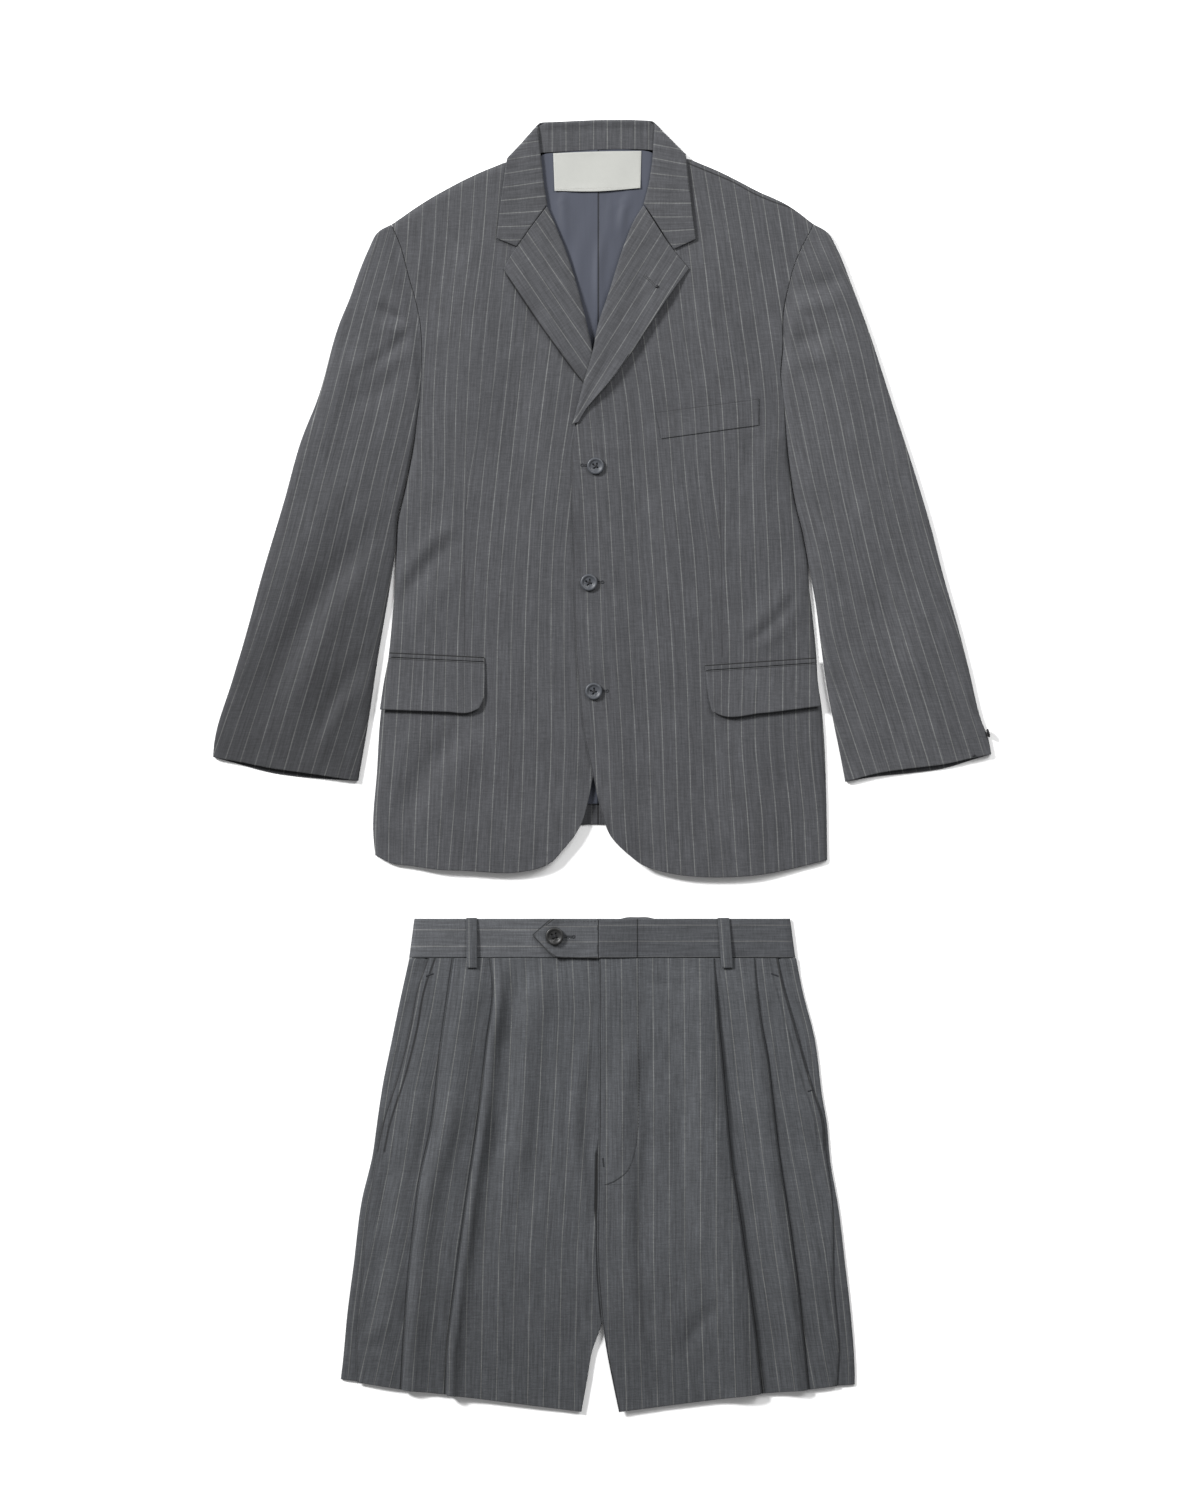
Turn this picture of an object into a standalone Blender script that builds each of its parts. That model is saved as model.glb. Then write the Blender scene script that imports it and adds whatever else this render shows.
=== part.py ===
"""A two-piece shorts suit laid flat: a single-breasted jacket and a pair of pleated shorts below it.

Lengths are in millimetres here and are turned into metres when a mesh is made. Tables give points of the laid-out
garment as x (to the viewer's right) and down (towards the hem), from the middle of the collar's top edge for the
jacket and from the waistband's top edge for the shorts. Right and left in the names are the wearer's.
"""

import math

import bpy
import numpy as np

MM = 0.001

# Where the two garments lie on the surface
JACKET_TOP = 678.87
SHORTS_TOP = -158.93

# Cloth
SUITING = 1.5
LINING = 1.0
SLEEVE_WALL = 1.2
SHORTS_WALL = 1.2
BAND_WALL = 2.4
LABEL_WALL = 0.5
FLAP_WALL = 1.6
WELT_WALL = 1.4
SEAM = 0.6
LAYER_GAP = 0.35

# Heights of the middle of each wall over the surface
BACK_MIDDLE = SUITING / 2
LINING_MIDDLE = 2.3
BODY_LEVEL = 4.0
CROWN = 1.2
HALF_WIDTH = 240.0
CURL_DROP = 2.9
CURL_WIDTH = 9.0
LAPEL_LIFT = SUITING + LAYER_GAP
OVERLAP_LIFT = SUITING + 0.3
TAIL_LIFT = SUITING + 0.4
SLEEVE_HIGH = 6.0
SLEEVE_HEAD_HIGH = 5.4
SLEEVE_CUFF_HIGH = 5.2
BACK_HEM_SHOWS = 5.0
ROLL_SETBACK = 2.9
LINING_INSET = 10.5
BACK_INSET = 4.0
ARMPIT = 295.0
CURL_STARTS = 8.0
CURL_FULL = 60.0
ROLL_CLEAR = 0.3
ROLL_FLAT = 2.0
CUFF_BUTTON_CLEAR = 0.6

# Buttons
JACKET_BUTTON = 18.0
CUFF_BUTTON = 9.0
CUFF_BUTTON_THICK = 2.2
SHORTS_BUTTON = 20.0
BUTTON_THICK = 3.0

# Shorts
PLEAT_STEP = SHORTS_WALL + 0.3
PLEAT_DEPTH_WAIST = 15.0
PLEAT_DEPTH_HEM = 9.0
PLEAT_RIDGE = 1.5
PLEAT_OVERRISE = 1.4
RISE_WIDTH = 30.0
LEG_LEVEL = 4.0
FLY_LIFT = SHORTS_WALL + 0.4
FLY_WIDTH = 17.0
FLY_FADE = 50.0
SIDE_LEVEL = 2.45
SIDE_DROP = 0.7
PANEL_TURN = 1.4
PANEL_TURN_WIDTH = 5.0
LEG_TOP = 44.2
BACK_SHORTER = 3.0
BAND_LEVEL = 4.1
BAND_CURL = 2.4
BAND_CURL_WIDTH = 8.0
BACK_BAND_WALL = 1.8
TAB_WALL = 1.6
LOOP_WALL = 1.6

# Jacket outline, wearer's right half (viewer's left): x, down
SHOULDER_R = [(-221, 111), (-185, 86.5), (-155, 69.5), (-135, 59.5), (-104, 46.5), (-96, 50), (-68, 62)]
ARMHOLE_R = [(-221, 111), (-211, 135), (-203, 165), (-195, 193), (-190, 221), (-189, 251), (-191, 295)]
SIDE_R = [(-191, 295), (-199, 348), (-207, 389), (-214.6, 423), (-216.4, 456), (-217, 482), (-220, 523),
          (-225.5, 576), (-229.5, 603), (-233, 632), (-236, 681), (-240, 753), (-238, 773)]
HEM_R = [(-238, 773), (-222, 781), (-200, 784), (-173, 788), (-146, 789), (-86, 790.5), (-65, 786), (-53, 780),
         (-41, 767), (-30, 754)]
NECK_R = [(-68, 62), (-64, 84)]
EDGE_R = [(-3, 285), (6, 325), (9, 400), (9, 526), (5, 606), (-2.5, 663), (-10.5, 695), (-15.5, 719), (-22, 740),
          (-30, 754)]

# Jacket outline, wearer's left half (viewer's right), which lies over the other: x, down
SHOULDER_L = [(222, 111), (194, 90.5), (164, 76.5), (126, 57), (92, 42.5), (86, 47), (57, 60)]
ARMHOLE_L = [(222, 111), (204, 147), (195, 177), (190, 201), (189, 241), (187, 271), (191, 295)]
SIDE_L = [(191, 295), (192, 322), (196, 362), (202, 402), (211, 440), (216, 469), (216.7, 488), (220, 517),
          (224.6, 565), (226, 590), (230, 618), (233, 657), (235, 715), (236, 778)]
HEM_L = [(236, 778), (208, 785), (175, 792), (121, 796), (85, 794), (63, 790), (42, 783), (26, 771)]
NECK_L = [(57, 60), (51, 83)]
EDGE_L = [(-31.6, 350), (-32, 388), (-30, 436), (-28.5, 526), (-27, 566), (-23, 606), (-21, 630), (-15.5, 663),
          (-10, 687), (-1, 727), (3.4, 741), (9.6, 754), (16, 761.5), (26, 771)]

# Lapels: roll line, gorge edge with the notch side, and outer edge: x, down
ROLL_R = [(-58, 92.5), (-38, 141), (-13, 232), (-7, 262)]
GORGE_R = [(-58, 92.5), (-90, 135.5), (-96, 144.5), (-103.5, 158)]
LAPEL_EDGE_R = [(-103.5, 158), (-53, 232), (-19, 277), (-13, 284)]
LAPEL_END_R = [(-7, 262), (-13, 284)]
ROLL_L = [(43.6, 91.5), (35, 105), (23, 134), (8, 181), (-5, 221), (-9, 242), (-19, 277), (-26.5, 305), (-31, 321)]
GORGE_L = [(43.6, 91.5), (75, 138.5), (91, 158)]
LAPEL_EDGE_L = [(91, 158), (70, 187), (50, 217), (30, 247), (8, 277), (-5, 292), (-18, 307), (-25.5, 319.5)]
LAPEL_END_L = [(-31, 321), (-25.5, 319.5)]

# Collar fall, from one gorge round the back of the neck to the other. It lies on the fronts at both ends and under
# the stand at the back. Columns: roll x, roll down, height at the start of the roll, height of the fall at the roll,
# edge x, edge down, height at the edge
COLLAR = [
    (-58.0, 91.5, 4.2, 6.1, -111.0, 126.0, 6.7),
    (-62.0, 66.0, 4.1, 6.0, -107.5, 99.0, 6.4),
    (-64.5, 42.0, 4.1, 6.0, -104.0, 70.0, 6.0),
    (-66.5, 24.0, 4.1, 6.0, -101.5, 52.0, 6.0),
    (-67.8, 12.0, 4.0, 5.9, -100.2, 43.6, 5.6),
    (-68.4, 7.0, 3.8, 4.6, -99.2, 40.6, 4.6),
    (-68.2, 5.2, 3.6, 3.3, -98.4, 40.0, 3.2),
    (-66.0, 4.4, 3.5, 2.0, -95.0, 41.6, 1.7),
    (-60.0, 4.0, 3.5, 0.9, -86.0, 44.5, 0.75),
    (-40.0, 3.2, 3.5, 0.75, -52.0, 46.5, 0.75),
    (-5.0, 1.6, 3.5, 0.75, -7.0, 45.5, 0.75),
    (28.0, 1.4, 3.5, 0.75, 40.0, 44.5, 0.75),
    (47.0, 2.2, 3.5, 0.9, 74.0, 41.5, 0.75),
    (53.0, 2.6, 3.5, 2.0, 83.0, 37.6, 1.7),
    (55.2, 3.4, 3.6, 3.3, 86.4, 36.2, 3.2),
    (55.6, 5.6, 3.8, 4.6, 87.2, 37.0, 4.6),
    (55.2, 11.0, 4.0, 5.9, 88.0, 40.0, 5.6),
    (54.2, 24.0, 4.1, 6.0, 89.0, 51.0, 6.0),
    (53.0, 44.0, 4.1, 6.0, 91.0, 69.0, 6.0),
    (49.5, 68.0, 4.1, 6.0, 94.0, 97.0, 6.4),
    (43.6, 90.5, 4.2, 6.1, 98.0, 127.0, 6.7),
]
NOTCH_SHARE = 0.7
NOTCH_R = (-89.5, 134.2)
NOTCH_L = (74.6, 137.2)
NOTCH_REACH = 3

# Collar stand: top edge and neck seam: x, down
STAND_TOP = [(-62.5, 9), (-40, 7), (-5, 5.5), (28, 5.5), (50.5, 7)]
STAND_SEAM = [(-61, 35.8), (-45, 35), (-5, 32.6), (30, 32.2), (50, 33)]
STAND_LEVEL = 2.9

# Sleeves, outer and inner outline and cuff: x, down
SLEEVE_OUTER_R = [(-222.5, 111), (-235, 118.5), (-245, 137), (-255, 161), (-265, 189), (-275, 213), (-299, 295),
                  (-315, 335), (-334, 402), (-355, 472), (-377, 552), (-387.5, 587), (-408, 662), (-408.4, 670)]
SLEEVE_INNER_R = [(-192, 296), (-200, 348), (-208, 389), (-215.6, 423), (-217.4, 453), (-224, 498), (-235, 563),
                  (-247, 643), (-256, 695)]
CUFF_R = [(-408.4, 670), (-379.5, 675), (-350, 681), (-315, 686), (-288, 690), (-256, 695)]
SLEEVE_OUTER_L = [(223.5, 111), (235.5, 118.5), (246.5, 137), (261, 173), (281, 227), (291.5, 259), (303, 295),
                  (329, 375), (345, 429), (358, 480), (374, 536), (385, 579), (398, 632), (405, 650), (408.4, 667)]
SLEEVE_INNER_L = [(192, 296), (193, 322), (197, 362), (203, 402), (212, 440), (217, 469), (224, 509), (229.5, 552),
                  (235, 592), (242, 630), (249.5, 667), (255, 696)]
CUFF_L = [(408.4, 667), (387.5, 671), (361, 677), (321, 682), (288, 687), (255, 696)]

# Back and lining of the jacket, inside the outline above: neck and hem: x, down
BACK_NECK = [(84, 49), (72, 50), (38, 51), (-7, 52), (-52, 52), (-84, 52), (-94, 54)]
BACK_HEM = [(-235, 768), (-120, 752), (-9, 740.6), (120, 752), (233, 768)]
LINING_NECK = [(71, 58), (52, 36), (30, 33), (-5, 33.4), (-45, 35.8), (-62, 38), (-77, 60)]
LINING_HEM = [(-224, 744), (-120, 730), (-9, 719), (120, 730), (222, 744)]

# Label corners, pockets of the jacket: x, down
LABEL = [(-51.5, 36.4), (41, 34), (40, 73), (-50, 76)]
FLAP_R = {
    "top": [(-224, 565.6), (-123, 570.6)],
    "outer": [(-224, 565.6), (-229, 592), (-233, 620)],
    "inner": [(-123, 570.6), (-123, 590), (-124.5, 609), (-129, 619)],
    "bottom": [(-233, 620), (-164, 622.5), (-138, 623), (-129, 619)],
}
WELT_R = {
    "top": [(-223, 560), (-124, 565)],
    "outer": [(-223, 560), (-223.8, 564.8)],
    "inner": [(-124, 565), (-123.4, 569.8)],
    "bottom": [(-223.8, 564.8), (-123.4, 569.8)],
}
FLAP_L = {
    "top": [(224, 571.6), (108.4, 579.6)],
    "outer": [(224, 571.6), (226.5, 594), (229, 616.5)],
    "inner": [(108.4, 579.6), (112, 610), (115, 622)],
    "bottom": [(229, 616.5), (166.5, 624), (125, 626.5), (115, 622)],
}
WELT_L = {
    "top": [(223.5, 565.4), (107.4, 573.4)],
    "outer": [(223.5, 565.4), (223.9, 570.8)],
    "inner": [(107.4, 573.4), (108.2, 578.8)],
    "bottom": [(223.9, 570.8), (108.2, 578.8)],
}
CHEST_WELT = {
    "top": [(164, 294), (56, 308)],
    "outer": [(164, 294), (164, 322)],
    "inner": [(56, 308), (62, 336)],
    "bottom": [(164, 322), (62, 336)],
}
# Front buttons and the cuff button that shows: x, down
FRONT_BUTTONS = [(-7, 365), (-14, 487), (-9, 601)]
CUFF_BUTTON_AT = (402.3, 645.0)
CUFF_BUTTON_LEAN = 14.0

# Shorts, wearer's right leg (viewer's left): x, down
LEG_INNER_R = [(12, 44.2), (12, 250), (9, 300), (5, 380), (0, 424), (-2.6, 433), (-10, 453), (-16, 486), (-22, 519)]
PLEAT_INNER_R = [(-115, 44.2), (-112, 70), (-119, 136), (-129, 223), (-140, 298), (-149, 365), (-155.5, 413),
                 (-160, 453), (-162, 501)]
PLEAT_OUTER_R = [(-154, 44.2), (-159, 78), (-167, 136), (-177, 221), (-189, 276), (-195, 325), (-201, 380),
                 (-205, 435), (-208.5, 496)]
FRONT_SIDE_R = [(-183, 44.2), (-195, 78), (-202, 117), (-214, 165), (-231.5, 221), (-238, 256), (-247, 316),
                (-253, 391), (-258, 457), (-257, 488)]
PANEL_INNER_R = [(-171, 44.2), (-190, 117), (-206, 180), (-222, 215), (-236, 240), (-239.2, 256), (-248.2, 316),
                 (-254.2, 391), (-259.2, 457), (-258.2, 487.5)]
LEG_OUTER_R = [(-203, 44.2), (-214, 93), (-222, 132), (-230, 171), (-238, 224), (-241, 247), (-253, 298),
               (-261.5, 365), (-268, 415), (-273, 468), (-275, 485)]

# Shorts, wearer's left leg (viewer's right), which lies over the other at the middle: x, down
LEG_INNER_L = [(-3.3, 44.2), (-3, 192), (-4, 281), (-5, 347), (-3, 391), (0.4, 426), (5, 457), (11.5, 490),
               (17.6, 519)]
PLEAT_INNER_L = [(116, 44.2), (118, 92), (124, 158), (127, 192), (133, 258), (142, 316), (151, 382),
                 (159.5, 448), (165, 500)]
PLEAT_OUTER_L = [(158, 44.2), (163, 102), (171, 149), (176, 192), (184, 258), (193, 316), (203, 391),
                 (210, 457), (214, 496)]
FRONT_SIDE_L = [(184, 44.2), (188, 63), (203, 117), (220, 177), (231, 212), (234, 245), (240, 289), (243, 391),
                (248, 457), (246, 492)]
PANEL_INNER_L = [(172, 44.2), (191, 117), (208, 177), (219, 208), (235, 240), (241.4, 289), (244.4, 391),
                 (249.4, 457), (247.4, 491.8)]
LEG_OUTER_L = [(204, 44.2), (210, 74), (224, 130), (232, 192), (236, 214), (240, 258), (248, 303), (256, 369),
               (261, 413), (265.6, 482), (265.6, 490.5)]
CROTCH = 424.0
POCKET_END = 245.0

# Waistband: x, down
BAND_TOP = 1.6
BAND_SEAM = 42.6
BAND_HALF_TOP = 197.0
BAND_HALF_SEAM = 202.5
BAND_UNDER_END = 12.0
BAND_OVER_END = -3.6
BACK_RISE = [(25, 1.2), (37, 1.4), (49, 1.2)]
TAB_POINT = (-72, 19)
TAB_CORNER = (-52, 1.4)
TAB_LOW_CORNER = (-50, 42)
TAB_BUTTON_AT = (-50, 21)
LOOP_DOWN = 53.0
LOOP_RISE = 1.3
# Belt loops: x of the outer and inner edge, at the top and at the bottom
LOOP_R = [(-142.5, -131.5), (-142.0, -131.0)]
LOOP_L = [(121.0, 133.0), (125.0, 137.0)]

GREY_CLOTH = (0.112, 0.116, 0.122)
SHORTS_CLOTH = (0.086, 0.096, 0.106)
LINING_CLOTH = (0.125, 0.142, 0.178)
LABEL_CLOTH = (0.66, 0.66, 0.6)
BUTTON_GREY = (0.045, 0.047, 0.05)
BUTTON_DARK = (0.02, 0.02, 0.02)


# --- lines, patches and heights ---


def line(rows, corners=()):
    """A function giving points at shares 0..1 of the length of a smooth line through the rows.

    The line turns sharply at the rows whose numbers are in corners.
    """
    rows = np.array(rows, float)
    last = len(rows) - 1
    steps = np.diff(rows, axis=0)
    lengths = np.linalg.norm(steps, axis=1)
    slopes = steps / lengths[:, None]
    points = [rows[:1]]
    for i in range(last):
        starts_sharp = i == 0 or i in corners
        ends_sharp = i + 1 == last or i + 1 in corners
        start = slopes[i]
        end = slopes[i]
        if not starts_sharp:
            start = (slopes[i - 1] * lengths[i] + slopes[i] * lengths[i - 1]) / (lengths[i] + lengths[i - 1])
        if not ends_sharp:
            end = (slopes[i] * lengths[i + 1] + slopes[i + 1] * lengths[i]) / (lengths[i] + lengths[i + 1])
        t = np.linspace(0, 1, 13)[1:, None]
        points.append(
            (2 * t**3 - 3 * t**2 + 1) * rows[i]
            + (t**3 - 2 * t**2 + t) * start * lengths[i]
            + (3 * t**2 - 2 * t**3) * rows[i + 1]
            + (t**3 - t**2) * end * lengths[i]
        )
    points = np.concatenate(points)
    along = np.concatenate([[0], np.cumsum(np.linalg.norm(np.diff(points, axis=0), axis=1))])
    along /= along[-1]

    def at(share):
        share = np.asarray(share, float)
        return np.stack([np.interp(share, along, points[:, k]) for k in range(points.shape[1])], axis=-1)

    return at


def patch(left, right, top, bottom):
    """A function giving the point at (u, v) of the flat patch between four lines that meet at their ends."""

    def at(u, v):
        u = np.asarray(u, float)
        v = np.asarray(v, float)
        uu = u[..., None]
        vv = v[..., None]
        across = (1 - uu) * left(v) + uu * right(v)
        down_top = top(u) - ((1 - uu) * top(0.0) + uu * top(1.0))
        down_bottom = bottom(u) - ((1 - uu) * bottom(0.0) + uu * bottom(1.0))
        return across + (1 - vv) * down_top + vv * down_bottom

    return at


def beside(rows, by):
    """The rows of a line moved sideways; a positive distance moves a line that runs down towards +x."""
    rows = np.array(rows, float)
    ahead = np.gradient(rows, axis=0)
    ahead /= np.linalg.norm(ahead, axis=1)[:, None]
    return [tuple(row) for row in rows + by * np.stack([ahead[:, 1], -ahead[:, 0]], axis=1)]


def ramp(value, low, high):
    """0 below low, 1 above high, and a soft step between them."""
    t = np.clip((np.asarray(value, float) - low) / (high - low), 0, 1)
    return t * t * (3 - 2 * t)


def curl(distance):
    """How far the cloth has turned down at a distance from a fold that lies on the surface."""
    return CURL_DROP * np.clip(1 - np.asarray(distance, float) / CURL_WIDTH, 0, 1) ** 3


def body_height(x, down):
    """Middle of the wall of the jacket's fronts, where nothing lies under them but the lining and the back."""
    return BODY_LEVEL + CROWN * (1 - (x / HALF_WIDTH) ** 2) * ramp(down, 60, 200)


def over_lift(x, down):
    """What the upper front is raised by, over the lower front and over the end of its lapel."""
    tail = ramp(down, 165, 232) * (1 - ramp(down, 292, 335)) * (1 - ramp(x, -5, 24))
    return OVERLAP_LIFT * (1 - ramp(x, 12, 45)) + TAIL_LIFT * tail


def front_height_r(x, down):
    return body_height(x, down)


def front_height_l(x, down):
    return body_height(x, down) + over_lift(x, down)


# --- objects ---


def new_object(name, data, parent, colour, roughness):
    obj = bpy.data.objects.new(name, data)
    material = bpy.data.materials.new(name)
    material.use_nodes = True
    shader = material.node_tree.nodes["Principled BSDF"]
    shader.inputs["Base Color"].default_value = (*colour, 1.0)
    shader.inputs["Roughness"].default_value = roughness
    shader.inputs["Metallic"].default_value = 0.0
    data.materials.append(material)
    suit.objects.link(obj)
    obj.parent = parent
    return obj


def mesh_of_grid(name, points, ring=False):
    """A mesh of quads over a grid of points (rows, columns, 3) in millimetres; a ring joins its last column to its
    first."""
    rows, columns = points.shape[:2]
    faces = []
    for i in range(rows - 1):
        for j in range(columns if ring else columns - 1):
            k = (j + 1) % columns
            faces.append((i * columns + j, i * columns + k, (i + 1) * columns + k, (i + 1) * columns + j))
    mesh = bpy.data.meshes.new(name)
    mesh.from_pydata([tuple(p) for p in points.reshape(-1, 3) * MM], [], faces)
    mesh.shade_smooth()
    return mesh


def cloth(name, points, wall, parent, colour, ring=False, roughness=0.85):
    """A wall of cloth whose middle runs through the grid of points."""
    obj = new_object(name, mesh_of_grid(name, points, ring), parent, colour, roughness)
    solid = obj.modifiers.new("wall", "SOLIDIFY")
    solid.thickness = wall * MM
    solid.offset = 0
    solid.use_even_offset = not ring
    return obj


def flat_cloth(name, outline, middle, wall, parent, colour, roughness=0.85):
    """A flat piece of cloth cut to an outline of (x, down) points."""
    curve = bpy.data.curves.new(name, "CURVE")
    curve.dimensions = "2D"
    curve.fill_mode = "BOTH"
    curve.extrude = wall / 2 * MM
    spline = curve.splines.new("POLY")
    spline.points.add(len(outline) - 1)
    for point, (x, down) in zip(spline.points, outline):
        point.co = (x * MM, -down * MM, 0, 1)
    spline.use_cyclic_u = True
    obj = new_object(name, curve, parent, colour, roughness)
    obj.location.z = middle * MM
    return obj


def button(name, across, thick, parent, colour):
    """A turned button with a raised rim, its underside at z = 0."""
    radius = across / 2 * MM
    thick = thick * MM
    profile = [
        (0.0, 0.55 * thick),
        (0.62 * radius, 0.6 * thick),
        (0.78 * radius, thick),
        (0.92 * radius, 0.92 * thick),
        (radius, 0.5 * thick),
        (0.8 * radius, 0.0),
        (0.0, 0.0),
    ]
    mesh = bpy.data.meshes.new(name)
    mesh.from_pydata([(r, 0, z) for r, z in profile], [(i, i + 1) for i in range(len(profile) - 1)], [])
    obj = new_object(name, mesh, parent, colour, 0.35)
    turn = obj.modifiers.new("turn", "SCREW")
    turn.steps = 20
    turn.render_steps = 20
    turn.use_merge_vertices = True
    turn.merge_threshold = 0.00001
    return obj


# --- jacket ---


def jacket_front(name, outer, inner, shoulder, seam, hem, height, parent):
    """One front from armhole and side seam (u = 0) to neck and front edge (u = 1)."""
    surface = patch(outer, inner, shoulder, hem)
    vs = np.concatenate([[0, 0.004, 0.012], np.linspace(0.035, 1, 25)])
    grid = []
    for v in vs:
        width = np.linalg.norm(outer(v) - inner(v))
        us = np.concatenate([np.array([0, 1.2, 4.0, 9.5]), np.linspace(30, width - 52, 5),
                             width - np.array([34, 19, 8, 0])]) / width
        flat = surface(us, np.full(len(us), v))
        x, down = flat[:, 0], flat[:, 1]
        at_side = ramp(outer(v)[1], ARMPIT + CURL_STARTS, ARMPIT + CURL_FULL)
        above = np.array([min(np.hypot(*(p - seam).T)) for p in flat])
        drop = np.maximum(curl(us * width) * at_side, curl(above) if v < 0.2 else 0.0)
        z = height(x, down) - drop
        grid.append(np.stack([x, -down, z], axis=1))
    return cloth(name, np.array(grid), SUITING, parent, GREY_CLOTH)


def lapel(name, roll, edge, gorge, end, height, parent):
    """A lapel from its roll (u = 0), where it turns up from the front's edge, to its outer edge (u = 1)."""
    surface = patch(roll, edge, gorge, end)
    turn = LAPEL_LIFT
    grid = []
    for v in np.linspace(0, 1, 17):
        width = np.linalg.norm(roll(v) - edge(v))
        flat_start = min(ROLL_FLAT, 0.45 * width)
        shares = np.array([0, 0.09, 0.2, 0.35, 0.55, 0.78, 1])
        distances = np.concatenate([[flat_start, ROLL_CLEAR, ROLL_CLEAR], flat_start + (width - flat_start) * shares])
        drops = np.concatenate([turn * np.array([1, 0.8, 0.2]), np.zeros(len(shares))])
        flat = surface(distances / width, np.full(len(distances), v))
        x, down = flat[:, 0], flat[:, 1]
        z = height(x, down) + turn - drops
        grid.append(np.stack([x, -down, z], axis=1))
    return cloth(name, np.array(grid), SUITING, parent, GREY_CLOTH)


def collar(name, parent):
    """The collar's fall: rows of the table joined into one strip, with the notch ends bent out past their chords."""
    rows = np.array(COLLAR)
    shares = np.array([0, 0.18, 0.35, 0.52, NOTCH_SHARE, 0.85, 1])
    grid = []
    for i, (rx, rd, start_z, fall_z, ex, ed, edge_z) in enumerate(rows):
        roll = np.array([rx, rd])
        edge = np.array([ex, ed])
        width = np.linalg.norm(edge - roll)
        reach = (edge - roll) / width
        rise = fall_z - start_z
        points = [(*(roll + ROLL_FLAT * reach), start_z), (*(roll + ROLL_CLEAR * reach), start_z + 0.25 * rise),
                  (*(roll + ROLL_CLEAR * reach), start_z + 0.75 * rise)]
        for share in shares:
            spot = roll + reach * (ROLL_FLAT + (width - ROLL_FLAT) * share)
            points.append((*spot, fall_z + (edge_z - fall_z) * share))
        points = np.array(points)
        bend = np.where(shares <= NOTCH_SHARE, shares / NOTCH_SHARE, (1 - shares) / (1 - NOTCH_SHARE))
        for corner, end, from_end in ((NOTCH_R, rows[0], i), (NOTCH_L, rows[-1], len(rows) - 1 - i)):
            chord = end[0:2] + (end[4:6] - end[0:2]) * NOTCH_SHARE
            push = (np.array(corner) - chord) * max(0, 1 - from_end / NOTCH_REACH) ** 2
            points[3:, :2] += bend[:, None] * push
        points[:, 1] *= -1
        grid.append(points)
    return cloth(name, np.array(grid), SUITING, parent, GREY_CLOTH)


def sleeve(name, outer, inner, armhole, cuff, parent):
    """A sleeve pressed flat, open at the armhole and at the cuff, its lower layer a little longer than the upper."""
    surface = patch(outer, inner, armhole, cuff)
    grid = []
    for v in np.concatenate([[0, 0.015], np.linspace(0.05, 1, 15)]):
        high = SLEEVE_HEAD_HIGH + (SLEEVE_HIGH - SLEEVE_HEAD_HIGH) * ramp(v, 0, 0.08)
        high -= (SLEEVE_HIGH - SLEEVE_CUFF_HIGH) * ramp(v, 0.6, 1)
        turn = (high - SLEEVE_WALL) / 2
        middle = high / 2
        width = np.linalg.norm(outer(v) - inner(v))
        # Distance from the outer fold and height above the middle of the sleeve, once round
        half = [(0, 0), (0.29, 0.71), (1, 1)]
        ring = [(turn * e, turn * h) for e, h in half]
        ring += [(width * s, turn) for s in (0.12, 0.3, 0.5, 0.7, 0.88)]
        ring += [(width - turn * e, turn * h) for e, h in reversed(half)]
        ring += [(e, -h) for e, h in reversed(ring[1:-1])]
        inset = SLEEVE_WALL / 2
        row = []
        for e, h in ring:
            u = (inset + e * (width - 2 * inset) / width) / width
            x, down = surface(u, v)
            if h < -0.9 * turn:
                down += BACK_HEM_SHOWS * ramp(v, 0.93, 1) * math.sin(math.pi * u)
            row.append((x, -down, middle + h))
        grid.append(row)
    return cloth(name, np.array(grid), SLEEVE_WALL, parent, GREY_CLOTH, ring=True)


def laid_on(name, edges, height, wall, parent, rows, columns, colour=GREY_CLOTH):
    """A flat piece sewn on a panel: the panel's own points, moved out."""
    surface = patch(line(edges["outer"]), line(edges["inner"]), line(edges["top"]), line(edges["bottom"]))
    u, v = np.meshgrid(np.linspace(0, 1, columns), np.linspace(0, 1, rows))
    flat = surface(u, v)
    x, down = flat[..., 0], flat[..., 1]
    z = height(x, down) + SUITING / 2 + LAYER_GAP + wall / 2
    return cloth(name, np.stack([x, -down, z], axis=-1), wall, parent, colour)


def inset(points, by):
    """A closed outline moved in by a distance along the means of its neighbouring sides' normals."""
    points = np.array(points, float)
    ahead = np.roll(points, -1, axis=0) - np.roll(points, 1, axis=0)
    normals = np.stack([-ahead[:, 1], ahead[:, 0]], axis=1)
    normals /= np.linalg.norm(normals, axis=1)[:, None]
    area = np.sum(points[:, 0] * np.roll(points[:, 1], -1) - np.roll(points[:, 0], -1) * points[:, 1])
    return points + normals * by * (1 if area > 0 else -1)


def sampled(rows, count, corners=()):
    return line(rows, corners)(np.linspace(0, 1, count))


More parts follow.
